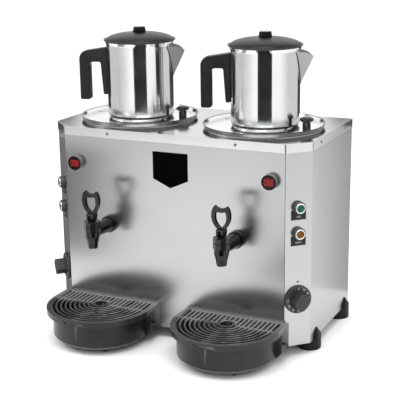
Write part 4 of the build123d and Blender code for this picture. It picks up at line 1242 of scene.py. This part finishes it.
@dataclass
class BoilerTop(SideUnit):
    """A boiler lid with its mushroom knob."""

    edge_wire_mm: float = 0.9
    edge_steps: int = 128
    rim_run_mm: float = 5.0

    def build(self) -> list[Object]:
        """Dress the lid and its knob, and roll the lid's edge.

        Returns:
            The pieces.
        """
        lid = softened(self.node("boiler_lid"), Palette.LID, round_mm=0.4, crease=25.0)
        return [
            # The rim's outer faces are painted a duller grey, a painted dark reflection
            retouched(lid, Palette.RIM, self.outside()),
            softened(self.node("lid_knob"), Palette.ACETAL, round_mm=0.5, crease=50.0),
            self.rolled_edge(),
        ]

    def outside(self) -> Callable[[MeshPolygon], bool]:
        """Find where the outside of the lid's rim is.

        Returns:
            A test of whether a face of the lid is there.
        """
        low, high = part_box(self.node("boiler_lid"))
        axis, inside = ((low + high) / 2).to_2d(), (high.x - low.x) / 2 - self.rim_run_mm * MM

        def test(face: MeshPolygon) -> bool:
            """Whether a face is far from the axis and looks away from it."""
            away = face.center.to_2d() - axis
            return away.length > inside and face.normal.to_2d().dot(away) > 0

        return test

    def rolled_edge(self) -> Object:
        """Roll a bead round the lid's rim.

        Returns:
            The bead, which rides on the lid.
        """
        node, wire = self.node("boiler_lid"), self.edge_wire_mm * MM
        low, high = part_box(node)
        # The bead is painted dark, a line of painted shade round the rim
        mesh = GrownMesh.grow(GrownMesh.rings(), {
            "Ring Radius": (high.x - low.x) / 2 - wire, "Wire Radius": wire, "Steps": self.edge_steps,
            "Finish": Palette.BEAD.material()}, [onto((low + high) / 2, UP, high.z - wire)], [UP])
        return ridden(f"{node}_rolled_edge", mesh, node, Palette.BEAD)


@dataclass
class Teapot(SideUnit):
    """A teapot with its beak, handle, lid and knob."""

    base_tilt: float = -0.3
    lip_tilt: float = 0.5
    seam_radius_mm: float = 0.7
    seam_half_deg: int = 24

    def build(self) -> list[Object]:
        """Dress the pot, its handle and its lid, and weld the beak on.

        Returns:
            The pieces.
        """
        body = softened(self.node("pot_body"), Palette.MIRROR, crease=8.0)
        beak = softened(self.node("pot_beak"), Palette.BEAK, crease=8.0)
        return [
            # Painted shade: the pot's downward faces are dark as a contact shadow, and the beak's upward
            # edges as the shade of its opening
            retouched(body, Palette.WELD, lambda face: face.normal.z < self.base_tilt),
            retouched(beak, Palette.WELD, lambda face: face.normal.z > self.lip_tilt),
            self.seam(),
            softened(self.node("pot_handle"), Palette.PHENOLIC, round_mm=2.5, steps=3),
            softened(self.node("pot_lid"), Palette.PHENOLIC, round_mm=0.8, crease=50.0),
            softened(self.node("pot_lid_knob"), Palette.GLOSS, round_mm=1.2, steps=3),
        ]

    def seam(self) -> Object:
        """Run a bead of weld where the outside of the beak meets the wall.

        Returns:
            The bead, which rides on the teapot.
        """
        body, beak = self.node("pot_body"), NODES[self.node("pot_beak")]
        axis, low = middle(body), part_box(body)[0].z
        wall = max((v.co - axis).to_2d().length for v in NODES[body].data.vertices if v.co.z < axis.z)
        corners = [v.co for v in beak.data.vertices]
        shape = BVHTree.FromPolygons(corners, [p.vertices for p in beak.data.polygons])
        tip = max(((corner - axis).to_2d() for corner in corners), key=lambda away: away.length)
        distance = wall + self.seam_radius_mm * MM
        points = []
        for turn in range(-self.seam_half_deg, self.seam_half_deg + 1):
            way = Matrix.Rotation(math.radians(turn), 2) @ tip.normalized() * distance
            found = shape.ray_cast(Vector((axis.x + way.x, axis.y + way.y, low)), UP)[0]
            if found:
                points.append(found)
        mesh = tube(points, self.seam_radius_mm)
        return ridden(f"{beak.name}_weld", mesh, beak["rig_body"], Palette.WELD)


@dataclass
class Studio:
    """The camera at the photograph's angle, a pale floor, soft light and reflection cards."""

    camera_mm: tuple[float, float, float] = (978.4, -1991.9, 903.5)
    azimuth_deg: float = 25.42
    elevation_deg: float = 15.32
    roll_deg: float = -0.8
    lens_mm: float = 95.15
    sensor_mm: float = 36.0
    clip_m: Span = (0.05, 100.0)
    floor_half_m: float = 30.0
    paper: str = "#eeeeee"
    paper_roughness: float = 0.9
    paper_sheen: float = 0.1
    sky: float = 1.25
    aim_m: tuple[float, float, float] = (0.0, 0.1, 0.3)
    pots_y_m: float = 0.08
    ring_m: float = 2.2
    ring_height_m: float = 0.9
    fan_start_m: float = 0.6
    fan_lift_m: float = 0.004

    # Name, place and size in metres, and power in watts
    SOFTBOXES = (("softbox_above", (0.3, -0.7, 2.4), (1.6, 1.0), 34.0),
                 ("softbox_left", (-1.7, -0.9, 1.5), (0.7, 1.2), 12.0))
    # Azimuth in degrees, as the camera's is counted, and brightness of the ring there
    RING_GLOWS = ((-180, 0.04), (-170, 0.04), (-168, 1.1), (-142, 1.1), (-140, 0.04), (-104, 0.04),
                  (-98, 0.8), (-86, 0.75), (-55, 0.7), (-30, 0.95), (-10, 1.3), (1, 1.3), (2, 0.02),
                  (46, 0.02), (47, 1.3), (75, 1.25), (100, 0.8), (148, 0.8), (153, 0.04), (180, 0.04))
    # The ends of the ring, and of its dark part, which the felt on the floor carries on
    RING_DEG = (-180, 180)
    FAN_DEG = (2, 46)
    # Feet, height and brightness of screens: two for the left end of the front, one for the left corner
    # and one for the right side
    SCREENS = (((-0.95, -0.50), (-0.49, -0.50), 0.30, (0.2, 0.2)),
               ((-0.49, -0.50), (-0.36, -0.50), 0.30, (0.2, 1.1)),
               ((-0.335, -0.08), (-0.335, 0.01), 0.41, (0.25, 0.25)),
               ((0.32, 0.36), (0.44, 0.36), 0.41, (0.4, 0.95)))

    def build(self) -> None:
        """Make the camera, the floor, the light and the cards."""
        bpy.context.scene.view_settings.view_transform = "Standard"
        self.camera()
        self.floor()
        self.light()
        self.surround()

    def camera(self) -> None:
        """Set the camera where the photograph was taken from."""
        data = bpy.data.cameras.new("camera")
        data.lens, data.sensor_width = self.lens_mm, self.sensor_mm
        data.clip_start, data.clip_end = self.clip_m
        eye = shown("camera", data)
        a, e, r = (math.radians(x) for x in (self.azimuth_deg, self.elevation_deg, self.roll_deg))
        back = Vector((math.sin(a) * math.cos(e), -math.cos(a) * math.cos(e), math.sin(e)))
        level = Vector((math.cos(a), math.sin(a), 0.0))
        upright = back.cross(level)
        right = level * math.cos(r) + upright * math.sin(r)
        above = upright * math.cos(r) - level * math.sin(r)
        turn = Matrix((right, above, back)).transposed().to_4x4()
        eye.matrix_world = Matrix.Translation(Vector(self.camera_mm) * MM) @ turn
        bpy.context.scene.camera = eye

    def floor(self) -> None:
        """Lay the pale floor."""
        half = self.floor_half_m
        corners = [(x * half, y * half, 0.0) for x, y in ((-1, -1), (1, -1), (1, 1), (-1, 1))]
        mesh = bpy.data.meshes.new("floor")
        mesh.from_pydata(corners, [], [(0, 1, 2, 3)])
        paper = bpy.data.materials.new("studio_paper_white")
        paper.use_nodes = True
        shader = paper.node_tree.nodes["Principled BSDF"]
        shader.inputs["Base Color"].default_value = linear(self.paper)
        shader.inputs["Roughness"].default_value = self.paper_roughness
        shader.inputs["Specular IOR Level"].default_value = self.paper_sheen
        mesh.materials.append(paper)
        shown("floor", mesh)

    def light(self) -> None:
        """Light everything softly, with a large softbox above the front and a smaller one at the left."""
        world = bpy.data.worlds.new("studio")
        bpy.context.scene.world = world
        world.use_nodes = True
        backdrop = world.node_tree.nodes["Background"]
        backdrop.inputs["Color"].default_value = (1.0, 1.0, 1.0, 1.0)
        backdrop.inputs["Strength"].default_value = self.sky
        for row in self.SOFTBOXES:
            self.softbox(*row)

    def softbox(self, name: str, place_m: tuple[float, float, float], size_m: Span, power_w: float) -> None:
        """Hang a softbox that looks at the boiler.

        Args:
            name: The light's name.
            place_m: Where it hangs.
            size_m: Its width and height.
            power_w: Its power.
        """
        data = bpy.data.lights.new(name, "AREA")
        data.shape, data.energy = "RECTANGLE", power_w
        data.size, data.size_y = size_m
        box = shown(name, data)
        box.location = place_m
        box.rotation_mode = "QUATERNION"
        box.rotation_quaternion = (Vector(self.aim_m) - box.location).to_track_quat("-Z", "Y")

    def surround(self) -> None:
        """Stand lit and dark felt round the boiler, which only reflections see."""
        # The pots mirror a low ring, and their flared rims mirror dark felt on the floor in front
        ring = self.arc(self.RING_DEG, (self.ring_m, 0.0), (self.ring_m, self.ring_height_m))
        fan = self.arc(self.FAN_DEG, (self.fan_start_m, self.fan_lift_m), (self.ring_m, self.fan_lift_m))
        points, faces, glows = [], [], []
        for lower, upper, shares in (ring, fan, *(self.screen(*row) for row in self.SCREENS)):
            start = len(points)
            points += [point for pair in zip(lower, upper) for point in pair]
            glows += [share for share in shares for _ in range(2)]
            faces += [(start + 2 * i, start + 2 * i + 2, start + 2 * i + 3, start + 2 * i + 1)
                      for i in range(len(lower) - 1)]
        mesh = bpy.data.meshes.new("surround")
        mesh.from_pydata(points, [], faces)
        mesh.attributes.new("glow", "FLOAT", "POINT")
        mesh.attributes["glow"].data.foreach_set("value", glows)
        felt = bpy.data.materials.new("studio_felt")
        felt.use_nodes = True
        felt.node_tree.nodes.clear()
        share = add_node(felt.node_tree, "ShaderNodeAttribute", attribute_name="glow")
        lit = add_node(felt.node_tree, "ShaderNodeEmission", {"Strength": share.outputs["Fac"]})
        add_node(felt.node_tree, "ShaderNodeOutputMaterial", {"Surface": lit})
        mesh.materials.append(felt)
        screens = shown("surround", mesh)
        screens.visible_camera = screens.visible_diffuse = screens.visible_shadow = False
        screens.visible_transmission = screens.visible_volume_scatter = False

    def arc(self, ends_deg: tuple[int, int], near: Span, far: Span) -> Strip:
        """Run felt round the pots, as bright as the ring is at each azimuth.

        Args:
            ends_deg: The azimuths of its ends.
            near: How far from the pots its first edge is and how high, in metres.
            far: The same of its other edge.

        Returns:
            Its first edge, its other edge and its brightness along them.
        """
        angles = range(ends_deg[0], ends_deg[1] + 1)
        first, last = ([Vector((math.sin(a) * distance, self.pots_y_m - math.cos(a) * distance, height))
                        for a in map(math.radians, angles)] for distance, height in (near, far))
        return first, last, [self.glow(angle) for angle in angles]

    def screen(self, first: Span, last: Span, height_m: float, glows: Span) -> Strip:
        """Stand a low straight screen.

        Args:
            first: The place of one foot, in metres.
            last: The place of the other foot.
            height_m: Its height.
            glows: Its brightness at each end.

        Returns:
            Its lower edge, its upper edge and its brightness along them.
        """
        feet = [Vector((*first, 0.0)), Vector((*last, 0.0))]
        return feet, [foot + UP * height_m for foot in feet], list(glows)

    def glow(self, azimuth_deg: float) -> float:
        """Find how bright the ring is.

        Args:
            azimuth_deg: The azimuth, as the camera's is counted.

        Returns:
            The brightness there, between the listed ones.
        """
        low, first = max(row for row in self.RING_GLOWS[:-1] if row[0] <= azimuth_deg)
        high, last = min(row for row in self.RING_GLOWS if row[0] > low)
        return first + (last - first) * (azimuth_deg - low) / (high - low)


def main() -> None:
    """Build the studio and every sub-assembly, and report each piece."""
    logging.basicConfig(level=logging.INFO, format="%(message)s")
    Studio().build()
    assemblies: list[Assembly] = [Cabinet()]
    for side in Side:
        assemblies += [ControlCorner(side), Thermometer(side), LeverTap(side), DripStation(side),
                       BoilerTop(side), Teapot(side)]
    for assembly in assemblies:
        for piece in assembly.build():
            LOG.info("%s: %s, %d faces", type(assembly).__name__, piece.name, len(piece.data.polygons))


if __name__ == "__main__":
    main()
